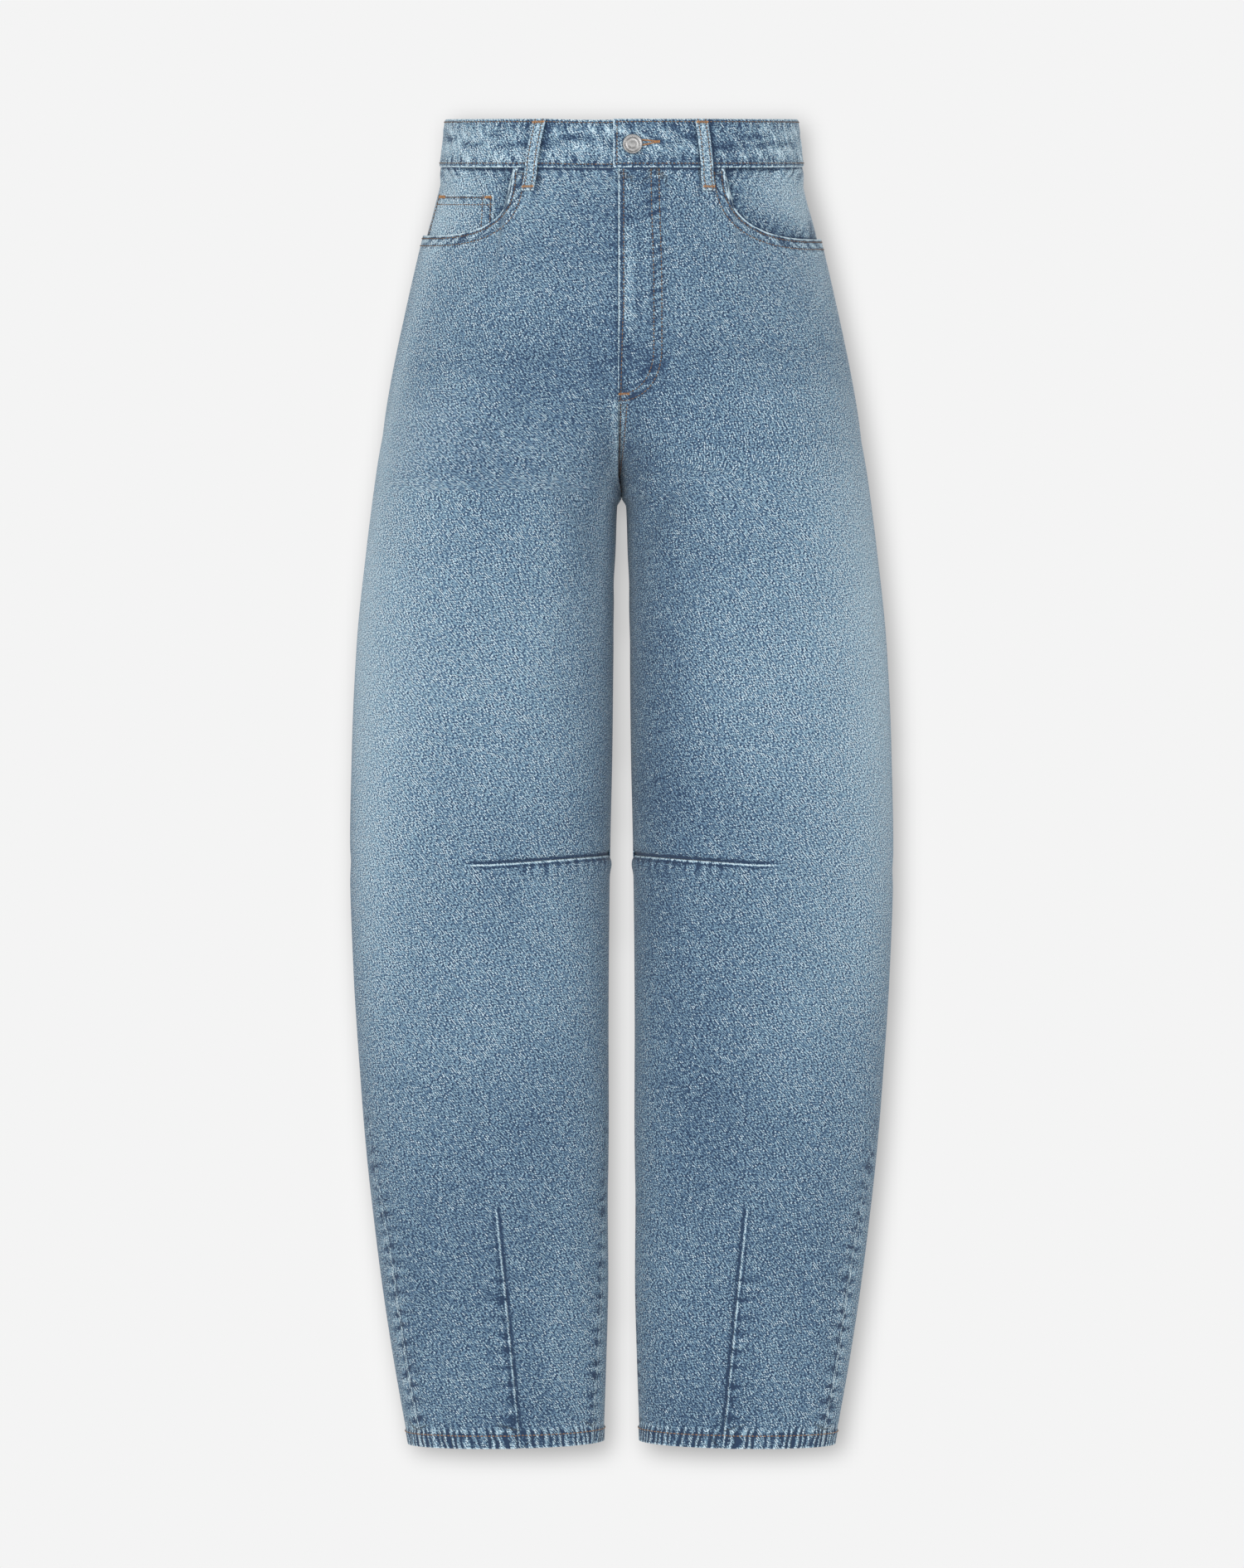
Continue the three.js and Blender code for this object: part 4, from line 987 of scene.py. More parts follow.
def band_profile():
    """Levels and offsets round one section, front face first, with rounded folds top and bottom."""
    low = -BAND_HEIGHT + SEAM_GAP / 2
    face = np.concatenate([[0, -0.3, -0.9], np.linspace(-2, low + 2, 30), [low + 0.9, low + 0.3, low]])
    depth = np.minimum(-face, face - low)
    out = BAND_LIFT - 0.9 * (1 - smooth(depth / 1.3))
    hem = np.linspace(low, 0, 8)
    behind = np.full(8, BAND_LIFT - BAND_WALL)
    behind[[0, -1]] += 0.5
    return np.concatenate([face, hem]), np.concatenate([out, behind]), len(face)


def waistband():
    levels, offsets, face = band_profile()
    along = np.linspace(0, 1, BAND_STATIONS)[:, None]
    level = np.broadcast_to(levels, (BAND_STATIONS, len(levels)))
    turn = band_turn(level, along)
    point, normal = band_frame(level, turn)
    on_face = np.arange(len(levels)) < face
    crease = np.where(on_face, band_ripple(level, turn), 0)
    out = offsets + CREASE_HEIGHT * crease - band_under(turn)
    ring = point + normal * out[..., None]
    obj = tube_mesh("waistband_cloth", ring, normal[9, 4], 9, 4, 60)
    run = np.concatenate([[0], np.cumsum(np.linalg.norm(np.diff(ring[:, 8], axis=0), axis=-1))])
    run = np.broadcast_to(run[:, None], level.shape)
    rim = np.minimum(-level, level + BAND_HEIGHT)
    pull = np.maximum(fall(-level - 3, 6) * 0.4, fall(level + BAND_HEIGHT - 3, 7) * 0.6)
    ends = np.minimum(run, run[-1] - run)
    x = point[..., 0]
    # Pale on the crease ridges and dark in their troughs, from the wash and from painted shade; paler towards
    # the sides; painted shadow beside the front belt loops.
    wash_and_shade = 0.60 * crease - 0.03 + 0.20 * smooth((np.abs(x) / 140 - 0.60) / 0.35)
    wash_and_shade = wash_and_shade + loop_shade(x, point[..., 1], level) - 0.13 * smooth(x / 16) * smooth((150 - x) / 50)
    crisp = np.where(level < -BAND_HEIGHT / 2, 1.1, 0.75)
    set_values(obj.data, {"wash_and_shade": wash_and_shade, "pull": pull, "place": (run + 0.2 * level) / 6.2,
                          "edge": (np.minimum(rim, ends) + 0.9) * MM, "crisp": crisp})
    set_uv(obj.data, np.stack([-run * MM, level * MM], axis=-1).reshape(-1, 2))
    return obj


band = waistband()
print("waistband faces:", len(band.data.polygons))

# %% [markdown]
# ## Belt loops
# A belt loop is a narrow strip folded on itself, 10 mm wide. It stands clear of the waistband in the middle
# and is turned under at both ends, where it is thicker.

# %% Belt loops
LOOP_WIDTH, LOOP_WALL, LOOP_TOP, LOOP_BOTTOM, LOOP_STAND_OFF = 10, 2.2, -0.8, -56.3, 2.4


def loop_frame(key, down):
    top_x, bottom_x, in_front = LOOPS[key]
    level, x = mix(LOOP_TOP, LOOP_BOTTOM, down), mix(top_x, bottom_x, down)
    leg = -1 if top_x < 0 else 1
    angle = angle_at_x(level, in_front, np.abs(x))
    normal = form_normal(level, angle, leg)
    below = smooth((-BAND_HEIGHT - 1 - level) / 5)
    arch = LOOP_STAND_OFF * smooth(np.sin(np.pi * np.clip(down / 0.8, 0, 1)))
    base = mix(BAND_LIFT, 0, below) + SEAM_GAP + arch
    aside = unit(np.stack([-normal[..., 1], normal[..., 0], 0 * level], axis=-1))
    return form_point(level, angle, leg) + normal * base[..., None], normal, aside


def loop_wall(down):
    """Thicker at both ends, where the strip is turned under."""
    turned = np.maximum(smooth((0.14 - down) / 0.03), smooth((down - 0.86) / 0.03))
    return LOOP_WALL * (0.86 + 0.3 * turned)


def belt_loop(key):
    down = np.linspace(0, 1, 60)
    start, normal, aside = loop_frame(key, down)
    wall = loop_wall(down)
    corner = np.linspace(0, np.pi / 2, 4)
    half, soft = LOOP_WIDTH / 2, 0.75
    across, height = [], []
    for sx, sy in ((1, 1), (-1, 1), (-1, 0), (1, 0)):
        steps = corner if sx * (2 * sy - 1) > 0 else corner[::-1]
        for t in steps:
            across.append(sx * (half - soft + soft * math.cos(t)))
            rounded = soft / LOOP_WALL * (1 - math.sin(t))
            height.append((1 - rounded) if sy else rounded)
    across, height = np.array(across), np.array(height)
    sag = 0.12 * np.cos(np.pi * across / half)
    ring = (start[:, None] + aside[:, None] * across[None, :, None]
            + normal[:, None] * (wall[:, None] * height + sag * height)[..., None])
    top = int(np.argmax(height - 0.01 * np.abs(across)))
    obj = tube_mesh(f"loop_cloth_{key}", ring, normal[30], 30, top, 50)
    down_mm, wide = np.broadcast_arrays((down * LOOP_RUN)[:, None], across)
    rim = half - np.abs(wide) + 0.9
    set_values(obj.data, {"wash_and_shade": -0.12 + 0 * wide, "pull": fall(np.abs(rim - 1.9), 1.6) * 0.3,
                          "place": down_mm / 5.5 + 0.4 * np.sign(wide), "edge": rim * MM,
                          "crisp": 0.75 + 0 * wide})
    set_uv(obj.data, np.stack([wide * MM, -down_mm * MM], axis=-1).reshape(-1, 2))
    return obj


loops = {key: belt_loop(key) for key in LOOPS}
print("belt loops:", len(loops))

# %% [markdown]
# ## Button
# The button is a pressed metal cap with a raised rim on a short shank. A profile spun round its axis gives
# the cap; a ring of small beads, copied by Geometry Nodes, stands in for the decoration of such a rim.

# %% Button
BUTTON_X, BUTTON_LEVEL, BUTTON_RADIUS = 8.5, -20.2, 7.8
BUTTON_PROFILE = [(0, 0), (3.6, 0), (3.6, 0.9), (6.9, 1.0), (7.5, 1.2), (7.8, 1.6), (7.8, 2.1), (7.6, 2.5),
                  (7.2, 2.72), (6.8, 2.72), (6.5, 2.58), (6.3, 2.42), (5.0, 2.40), (4.8, 2.5), (4.6, 2.62),
                  (4.3, 2.66), (4.0, 2.6), (3.8, 2.5), (2.4, 2.62), (1.2, 2.7), (0, 2.72)]
button_angle = angle_at_x(BUTTON_LEVEL, True, BUTTON_X)
button_out = form_normal(BUTTON_LEVEL, button_angle, 1)
button_seat = form_point(BUTTON_LEVEL, button_angle, 1) + button_out * (BAND_LIFT + SEAM_GAP)
button_side = unit(np.cross([0, 0, 1.0], button_out))
button_up = np.cross(button_out, button_side)


def on_button(radius, turn, height):
    flat = radius * (math.cos(turn) * button_side + math.sin(turn) * button_up)
    return (button_seat + flat + button_out * height) * MM


def button_cap():
    spokes = 96
    verts = [on_button(0, 0, BUTTON_PROFILE[0][1])]
    for radius, height in BUTTON_PROFILE[1:-1]:
        verts += [on_button(radius, 2 * math.pi * k / spokes, height) for k in range(spokes)]
    verts.append(on_button(0, 0, BUTTON_PROFILE[-1][1]))
    rings = len(BUTTON_PROFILE) - 2
    faces = []
    for k in range(spokes):
        n = (k + 1) % spokes
        faces.append([0, 1 + n, 1 + k])
        for r in range(rings - 1):
            a = 1 + r * spokes
            faces.append([a + k, a + n, a + spokes + n, a + spokes + k])
        last = 1 + (rings - 1) * spokes
        faces.append([last + k, last + n, len(verts) - 1])
    return make_mesh("button_cap", [list(v) for v in verts], faces, 60)


cap = button_cap()
print("button is", round(BUTTON_RADIUS * 2, 1), "mm wide")

# %% [markdown]
# ## Materials: helpers
# Node trees are easier to read when each node is one line. `add` makes a node, and a value that is itself a
# socket becomes a link. `calc` is a maths node.

# %% Node helpers
def add(tree, kind, inputs=(), **settings):
    node = tree.nodes.new(kind)
    for key, value in settings.items():
        setattr(node, key, value)
    for key, value in dict(inputs).items():
        if isinstance(value, bpy.types.NodeSocket):
            tree.links.new(value, node.inputs[key])
        else:
            node.inputs[key].default_value = value
    return node


def calc(tree, operation, *values, clamp=False):
    inputs = {k: v for k, v in enumerate(values)}
    return add(tree, "ShaderNodeMath", inputs, operation=operation, use_clamp=clamp).outputs[0]


def cloud(tree, place, scale, detail=2.0, rough=0.5):
    settings = {"Vector": place, "Scale": scale, "Detail": detail, "Roughness": rough}
    return add(tree, "ShaderNodeTexNoise", settings).outputs["Fac"]


def ramp(tree, value, stops):
    node = add(tree, "ShaderNodeValToRGB", {"Fac": value})
    band = node.color_ramp
    while len(band.elements) < len(stops):
        band.elements.new(0.5)
    for element, (at, color) in zip(band.elements, stops):
        element.position, element.color = at, (*color, 1)
    return node.outputs["Color"]


print("node helpers ready")

# %% [markdown]
# ## Washed denim
# Denim is a twill of dark warp threads over pale weft, so its surface is a field of slanting flecks and not a
# flat blue. The wash, with the painted shade and light added to it, decides how much of the pale core of the
# warp shows. One shader group holds it all: twill lines, flecks, slubs, the cloudy wash, the ridges beside
# pulled seams with painted shade in their hollows, and the painted shadow under a covering edge. It also
# holds the pale line at an edge, worn and partly a painted highlight, and the painted shade in the groove of
# its stitches.
# It puts out a colour, a height for the bump and a roughness, and each material feeds it its own values.

# %% Denim shader group
TWILL_PITCH, FLOAT_LENGTH, TWILL_LEAN = 1.35, 0.7, math.radians(57)
DENIM_TONES = [(0.0, (0.018, 0.042, 0.090)), (0.25, (0.070, 0.135, 0.220)), (0.5, (0.165, 0.268, 0.357)),
               (0.75, (0.292, 0.432, 0.512)), (1.0, (0.560, 0.690, 0.760))]
DENIM_INPUTS = {"Wash_and_shade": 0, "Pull": 0, "Place": 0, "Edge": 0.06, "Crisp": 0, "Fade": 0.5, "Contrast": 1,
                "Crinkle": 0}


def denim_group():
    tree = bpy.data.node_groups.new("washed denim", "ShaderNodeTree")
    tree.interface.new_socket("Threads", in_out="INPUT", socket_type="NodeSocketVector")
    for name, start in DENIM_INPUTS.items():
        tree.interface.new_socket(name, in_out="INPUT", socket_type="NodeSocketFloat").default_value = start
    for name, kind in (("Color", "Color"), ("Height", "Float"), ("Roughness", "Float")):
        tree.interface.new_socket(name, in_out="OUTPUT", socket_type=f"NodeSocket{kind}")
    given = tree.nodes.new("NodeGroupInput").outputs
    threads = {0: given["Threads"], "Scale": 1000.0}
    mm = add(tree, "ShaderNodeVectorMath", threads, operation="SCALE").outputs[0]
    split = add(tree, "ShaderNodeSeparateXYZ", {0: mm}).outputs

    def plus(a, b, weight=1.0):
        return calc(tree, "MULTIPLY_ADD", b, weight, a)

    def times(a, b):
        return calc(tree, "MULTIPLY", a, b)

    def pair(a, b):
        return add(tree, "ShaderNodeCombineXYZ", {0: a, 1: b}).outputs[0]

    def stretched(across_scale, along_scale):
        return pair(times(split[0], across_scale), times(split[1], along_scale))

    def bell(value, middle, width):
        off = calc(tree, "DIVIDE", calc(tree, "SUBTRACT", value, middle), width)
        return calc(tree, "POWER", math.e, times(times(off, off), -1.0))

    def step(value, start, end):
        node = add(tree, "ShaderNodeMapRange", {"Value": value, "From Min": start, "From Max": end},
                   interpolation_type="SMOOTHSTEP")
        return node.outputs[0]

    # Twill: slanting lines, each broken into short floats of its own tone
    c, s = math.cos(TWILL_LEAN), math.sin(TWILL_LEAN)
    wander = cloud(tree, mm, 0.14, 2.0)
    across = plus(times(split[1], c / TWILL_PITCH), split[0], -s / TWILL_PITCH)
    across = plus(across, wander, 1.6)
    line = calc(tree, "FLOOR", across)
    along = plus(times(split[0], c / FLOAT_LENGTH), split[1], s / FLOAT_LENGTH)
    place = calc(tree, "FLOOR", plus(plus(along, line, 0.37), wander, 1.2))

    def thread(line_step, place_step):
        """Tone of the float so many lines and places away."""
        at = pair(calc(tree, "ADD", line, line_step), calc(tree, "ADD", place, place_step))
        return add(tree, "ShaderNodeTexWhiteNoise", {0: at}, noise_dimensions="2D").outputs["Value"]

    # Each float against its four neighbours, so that no cloud of light or dark floats forms
    float_tone = calc(tree, "ADD", thread(0, 0), 0.5)
    for line_step, place_step in ((1, 0), (-1, 0), (0, 1), (0, -1)):
        float_tone = plus(float_tone, thread(line_step, place_step), -0.25)
    twill = calc(tree, "SINE", times(across, 2 * math.pi))
    fleck = cloud(tree, stretched(1.5, 0.7), 1.0, 2.0, 0.65)
    slub = cloud(tree, stretched(0.8, 0.05), 1.0, 2.0, 0.6)
    weft = cloud(tree, stretched(0.05, 0.9), 1.0, 2.0)
    mottle = cloud(tree, mm, 0.20, 3.0, 0.65)
    drift = cloud(tree, mm, 0.018, 2.0)

    # Puckers across a pulled seam, uneven along it: dark hollows of painted shade and narrower pale ridges
    line_place = pair(given["Place"], 0.0)
    wobble = plus(given["Place"], cloud(tree, line_place, 0.6, 1.0), 1.6)
    wobble = plus(wobble, cloud(tree, mm, 0.11, 1.0), 0.9)
    wave = calc(tree, "SINE", times(wobble, 2 * math.pi))
    uneven = cloud(tree, pair(given["Place"], 7.0), 0.9, 2.0)
    uneven = calc(tree, "MULTIPLY_ADD", uneven, 2.6, -0.55, clamp=True)
    hollow = times(times(step(wave, 0.0, -0.9), uneven), given["Pull"])
    ridge = times(times(step(wave, 0.25, 0.95), uneven), given["Pull"])

    # Crinkle: fine pale veins that washing leaves in doubled cloth
    vein_place = pair(plus(times(split[0], 0.11), split[1], -0.05), times(split[1], 0.16))
    veins = bell(cloud(tree, vein_place, 1.0, 2.0, 0.55), 0.5, 0.035)
    veins = times(veins, step(cloud(tree, mm, 0.045, 1.0), 0.40, 0.60))
    blots = step(cloud(tree, vein_place, 0.8, 1.0), 0.56, 0.72)

    # The line of a seam: painted shadow under the edge that covers it, and a pale fold on the edge, worn and
    # partly a painted highlight. It also gets painted shade in the groove where its stitches hold it down, and
    # a little painted shade where pulled cloth sinks beside it.
    edge_mm = times(given["Edge"], 1000.0)
    rub = calc(tree, "MULTIPLY_ADD", mottle, 1.2, 0.5, clamp=True)
    crease = times(bell(edge_mm, -0.7, 1.15), given["Crisp"])
    worn_and_highlight = times(times(bell(edge_mm, 1.15, 0.75), given["Crisp"]), rub)
    groove = times(bell(edge_mm, 3.0, 1.0), given["Crisp"])
    sunk = times(bell(edge_mm, 5.2, 1.8), given["Pull"])

    # Colour and bump: each mark adds to both with its own weight
    veins, blots = times(veins, given["Crinkle"]), times(blots, given["Crinkle"])
    tone = plus(given["Wash_and_shade"], given["Fade"])
    for value, weight in ((float_tone, 1.26), (fleck, 0.14), (slub, 0.08), (weft, 0.06), (mottle, 0.12),
                          (drift, 0.10)):
        tone = plus(tone, times(calc(tree, "SUBTRACT", value, 0.5), given["Contrast"]), weight)
    tone = plus(tone, times(twill, given["Contrast"]), 0.05)
    height = plus(plus(times(twill, 0.00004), float_tone, 0.00005), fleck, 0.00012)
    for value, in_tone, in_height in ((hollow, -0.62, -0.0005), (ridge, 0.26, 0.0003),
                                      (crease, -0.62, -0.0005), (worn_and_highlight, 0.66, 0.0003),
                                      (groove, -0.36, -0.0003), (sunk, -0.06, 0.0),
                                      (veins, 0.26, 0.0003), (blots, -0.20, -0.0002)):
        tone = plus(tone, value, in_tone)
        height = plus(height, value, in_height)
    tone = calc(tree, "ADD", tone, 0.0, clamp=True)
    result = tree.nodes.new("NodeGroupOutput").inputs
    tree.links.new(ramp(tree, tone, DENIM_TONES), result["Color"])
    tree.links.new(height, result["Height"])
    tree.links.new(calc(tree, "MULTIPLY_ADD", fleck, 0.12, 0.80), result["Roughness"])
    return tree


denim = denim_group()
print("denim group nodes:", len(denim.nodes))

# %% [markdown]
# ## Cloth materials
# The leg panels, the doubled trim, the facings and the inside of the cloth are one denim with a different
# fade and crinkle. So each is the same shader group with its own values, and a change to the weave reaches
# them all. A little sheen at grazing angles gives the bloom of brushed cotton.

# %% Cloth materials
DENIM_SPECULAR, DENIM_SHEEN, DENIM_SHEEN_ROUGHNESS = 0.22, 0.12, 0.6


def cloth_material(name, fade, contrast, crinkle):
    material = bpy.data.materials.new(name)
    material.use_nodes = True
    tree = material.node_tree
    surface = tree.nodes["Principled BSDF"]
    values = {"Threads": add(tree, "ShaderNodeUVMap", uv_map="threads").outputs[0],
              "Fade": fade, "Contrast": contrast, "Crinkle": crinkle}
    for socket in ("Wash_and_shade", "Pull", "Place", "Edge", "Crisp"):
        values[socket] = add(tree, "ShaderNodeAttribute", attribute_name=socket.lower()).outputs["Fac"]
    cloth = add(tree, "ShaderNodeGroup", values, node_tree=denim)
    bump = add(tree, "ShaderNodeBump", {"Height": cloth.outputs["Height"], "Strength": 1.0, "Distance": 1.0})
    tree.links.new(cloth.outputs["Color"], surface.inputs["Base Color"])
    tree.links.new(cloth.outputs["Roughness"], surface.inputs["Roughness"])
    tree.links.new(bump.outputs["Normal"], surface.inputs["Normal"])
    surface.inputs["Specular IOR Level"].default_value = DENIM_SPECULAR
    surface.inputs["Sheen Weight"].default_value = DENIM_SHEEN
    surface.inputs["Sheen Roughness"].default_value = DENIM_SHEEN_ROUGHNESS
    return material


panel_denim = cloth_material("panel denim", 0.405, 1.0, 0.0)
trim_denim = cloth_material("trim denim", 0.43, 1.0, 0.30)
facing_denim = cloth_material("facing denim", 0.44, 1.0, 0.30)
inside_denim = cloth_material("inside denim", 0.74, 0.7, 0.0)
panels = [*fronts.values(), *backs.values(), *yokes.values(), *patches.values()]
dressed = [(panels, panel_denim, inside_denim),
           ([*facings.values(), coin], facing_denim, inside_denim),
           ([band, *loops.values()], trim_denim)]
for pieces, *finishes in dressed:
    for obj in pieces:
        for finish in finishes:
            obj.data.materials.append(finish)
print("pieces by finish:", [(finishes[0].name, len(pieces)) for pieces, *finishes in dressed])

# %% [markdown]
# ## Thread and metal
# Sewing thread is twisted and a little shiny. The seams are sewn in a dull tan that nearly sinks into the
# blue, the hems in a warmer brown, and the bar tacks and the buttonhole in orange. The button is satin steel.
# A fine cloud in the thread's own coordinates gives its uneven dye, and the same cloud serves the metal.

# %% Thread and metal materials
def plain_material(name, dark, light, scale, roughness, metallic=0.0, bump=0.00003):
    material = bpy.data.materials.new(name)
    material.use_nodes = True
    tree = material.node_tree
    surface = tree.nodes["Principled BSDF"]
    place = add(tree, "ShaderNodeTexCoord").outputs["Object"]
    fleck = cloud(tree, place, scale, 3.0, 0.6)
    tree.links.new(ramp(tree, fleck, [(0.3, dark), (0.7, light)]), surface.inputs["Base Color"])
    rough = calc(tree, "MULTIPLY_ADD", fleck, 0.2, roughness - 0.1)
    tree.links.new(rough, surface.inputs["Roughness"])
    raised = add(tree, "ShaderNodeBump", {"Height": calc(tree, "MULTIPLY", fleck, bump), "Distance": 1.0})
    tree.links.new(raised.outputs[0], surface.inputs["Normal"])
    surface.inputs["Metallic"].default_value = metallic
    return material


tan_thread = plain_material("tan thread", (0.070, 0.045, 0.034), (0.27, 0.17, 0.11), 700, 0.7)
brown_thread = plain_material("brown thread", (0.15, 0.080, 0.045), (0.42, 0.25, 0.15), 700, 0.7)
orange_thread = plain_material("orange thread", (0.46, 0.19, 0.065), (0.80, 0.42, 0.17), 700, 0.65)
steel = plain_material("satin steel", (0.24, 0.235, 0.23), (0.40, 0.395, 0.39), 420, 0.36, 1.0, 0.00001)
cap.data.materials.append(steel)
print("thread and metal:", [m.name for m in (tan_thread, brown_thread, orange_thread, steel)])

# %% [markdown]
# ## Stitches
# A row of stitches is one short thread copied along a line, so it is a job for Geometry Nodes: the line is
# cut into equal steps, a small spindle is set on each and turned along the line, and the copies are made
# real. Bar tacks and the buttonhole are one thread that runs zigzag, so a second tree sweeps a round section
# along a path. Both trees are built once and used with different values.

# %% Stitch trees
def new_geometry_tree(name, numbers):
    tree = bpy.data.node_groups.new(name, "GeometryNodeTree")
    tree.interface.new_socket("Line", in_out="INPUT", socket_type="NodeSocketGeometry")
    for key, value in numbers.items():
        tree.interface.new_socket(key, in_out="INPUT", socket_type="NodeSocketFloat").default_value = value
    tree.interface.new_socket("Thread", in_out="INPUT", socket_type="NodeSocketMaterial")
    tree.interface.new_socket("Sewn", in_out="OUTPUT", socket_type="NodeSocketGeometry")
    return tree, tree.nodes.new("NodeGroupInput").outputs, tree.nodes.new("NodeGroupOutput").inputs


def finish_tree(tree, made, given, result):
    real = add(tree, "GeometryNodeRealizeInstances", {0: made}).outputs[0]
    threaded = add(tree, "GeometryNodeSetMaterial", {0: real, "Material": given["Thread"]}).outputs[0]
    tree.links.new(threaded, result[0])


def equal_steps(tree, given):
    curve = add(tree, "GeometryNodeMeshToCurve", {0: given["Line"]}).outputs[0]
    pitch = {0: curve, "Length": given["Pitch"]}
    return add(tree, "GeometryNodeResampleCurve", pitch, mode="LENGTH").outputs[0]


def stitch_tree():
    sizes = {"Pitch": 0.0030, "Length": 0.0027, "Thickness": 0.00085}
    tree, given, result = new_geometry_tree("stitch row", sizes)
    steps = equal_steps(tree, given)
    spindle = add(tree, "GeometryNodeMeshUVSphere", {"Segments": 6, "Rings": 4, "Radius": 0.5}).outputs[0]
    tangent = add(tree, "GeometryNodeInputTangent").outputs[0]
    turn = add(tree, "FunctionNodeAlignRotationToVector", {"Vector": tangent}, axis="X").outputs[0]
    vary = add(tree, "FunctionNodeRandomValue", {2: 0.82, 3: 1.06, "Seed": 5}, data_type="FLOAT").outputs[1]
    long = add(tree, "ShaderNodeMath", {0: given["Length"], 1: vary}, operation="MULTIPLY").outputs[0]
    thick = given["Thickness"]
    size = add(tree, "ShaderNodeCombineXYZ", {0: long, 1: thick, 2: thick}).outputs[0]
    copies = add(tree, "GeometryNodeInstanceOnPoints",
                 {"Points": steps, "Instance": spindle, "Rotation": turn, "Scale": size}).outputs[0]
    finish_tree(tree, copies, given, result)
    return tree


def sweep_tree():
    tree, given, result = new_geometry_tree("swept thread", {"Radius": 0.0003})
    curve = add(tree, "GeometryNodeMeshToCurve", {0: given["Line"]}).outputs[0]
    section = {"Resolution": 6, "Radius": given["Radius"]}
    ring = add(tree, "GeometryNodeCurvePrimitiveCircle", section).outputs[0]
    swept = add(tree, "GeometryNodeCurveToMesh", {0: curve, 1: ring, "Fill Caps": True}).outputs[0]
    finish_tree(tree, swept, given, result)
    return tree


def bead_tree():
    tree, given, result = new_geometry_tree("bead ring", {"Pitch": 0.001, "Size": 0.0005})
    steps = equal_steps(tree, given)
    bead = add(tree, "GeometryNodeMeshUVSphere", {"Segments": 10, "Rings": 6, "Radius": 0.5}).outputs[0]
    copies = add(tree, "GeometryNodeInstanceOnPoints",
                 {"Points": steps, "Instance": bead, "Scale": given["Size"]}).outputs[0]
    finish_tree(tree, copies, given, result)
    return tree


def line_mesh(name, lines):
    verts, edges = [], []
    for line in lines:
        start = len(verts)
        verts += [tuple(p) for p in np.asarray(line) * MM]
        edges += [(k, k + 1) for k in range(start, len(verts) - 1)]
    mesh = bpy.data.meshes.new(name)
    mesh.from_pydata(verts, edges, [])
    return mesh


def run_tree(name, tree, lines, material, **numbers):
    """Puts the tree on the lines, makes the result real and returns it as a plain object."""
    source = bpy.data.objects.new(name + "_lines", line_mesh(name + "_lines", lines))
    bpy.context.collection.objects.link(source)
    modifier = source.modifiers.new("sewing", "NODES")
    modifier.node_group = tree
    values = {key.lower(): value for key, value in numbers.items()}
    for item in tree.interface.items_tree:
        if item.in_out != "INPUT" or item.socket_type == "NodeSocketGeometry":
            continue
        if item.socket_type == "NodeSocketMaterial":
            modifier[item.identifier] = material
        elif item.name.lower() in values:
            modifier[item.identifier] = values[item.name.lower()]
    evaluated = source.evaluated_get(bpy.context.evaluated_depsgraph_get())
    mesh = bpy.data.meshes.new_from_object(evaluated)
    obj = bpy.data.objects.new(name, mesh)
    bpy.context.collection.objects.link(obj)
    mesh.polygons.foreach_set("use_smooth", [True] * len(mesh.polygons))
    source.modifiers.clear()
    bpy.data.objects.remove(source)
    return obj


trees = {"row": stitch_tree(), "sweep": sweep_tree(), "beads": bead_tree()}
print("geometry trees:", [tree.name for tree in trees.values()])

# %% [markdown]
# ## Where the rows run
# A row follows its seam at a fixed distance, on the same surface as the cloth, so its points come from the
# same functions. Twin rows are 5.6 to 5.8 mm apart.

# %% Lines on the cloth
THREAD_RISE = 0.22
MOUTH_ROWS, CENTRE_ROWS, SEAT_ROWS, TWIN_ROWS = (2.5, 8.3), (2.8, 8.6), (1.6, 7.2), (1.8, 7.4)
FLY_ROWS = [(22.9, 25, -222.5), (29.1, 31.2, -228)]  # x at the top, x at the bend, lowest level
FLY_ROUNDNESS = 0.88


def on_front(level, angle, leg, out=THREAD_RISE):
    level, angle = np.broadcast_arrays(np.asarray(level, float), np.asarray(angle, float))
    point = form_point(level, angle, leg)
    lift = cloth_height(level, angle, leg) + dart_height(level, angle, leg) + hem_lift(level)
    lift = lift + fly_lift(level, leg * point[..., 0], leg) + out
    return point + form_normal(level, angle, leg) * lift[..., None]


def on_back(level, angle, leg, out=THREAD_RISE):
    level, angle = np.broadcast_arrays(np.asarray(level, float), np.asarray(angle, float))
    below_yoke = smooth((YOKE_CENTRE_LEVEL - level) / 6)
    lift = cloth_height(level, angle, leg) * below_yoke + hem_lift(level) + out
    return form_point(level, angle, leg) + form_normal(level, angle, leg) * lift[..., None]


def on_band(level, turn, out=THREAD_RISE):
    point, normal = band_frame(level, turn)
    lift = BAND_LIFT + CREASE_HEIGHT * band_ripple(level, turn) - band_under(turn) + out
    return point + normal * lift[..., None]


def span(start, stop, step=1.5):
    return np.linspace(start, stop, max(2, int(abs(stop - start) / step) + 1))


def mouth_rows(leg):
    start, across, depth, power = MOUTHS[leg]
    rows = []
    for off in MOUTH_ROWS:
        t = np.linspace(0.0, np.pi / 2, 90)
        x = start + across - (across + off) * np.cos(t) ** (2 / power)
        level = -BAND_HEIGHT - (depth + off) * np.sin(t) ** (2 / power)
        angle = angle_at_x(level, True, x)
        tail = span(math.degrees(angle[-1]), math.degrees(outseam_angle(level[-1])) + 0.6, 0.6)
        level = np.concatenate([level, np.full(len(tail), level[-1])])
        rows.append(on_front(level[2:], np.concatenate([angle, np.radians(tail)])[2:], leg))
    return rows


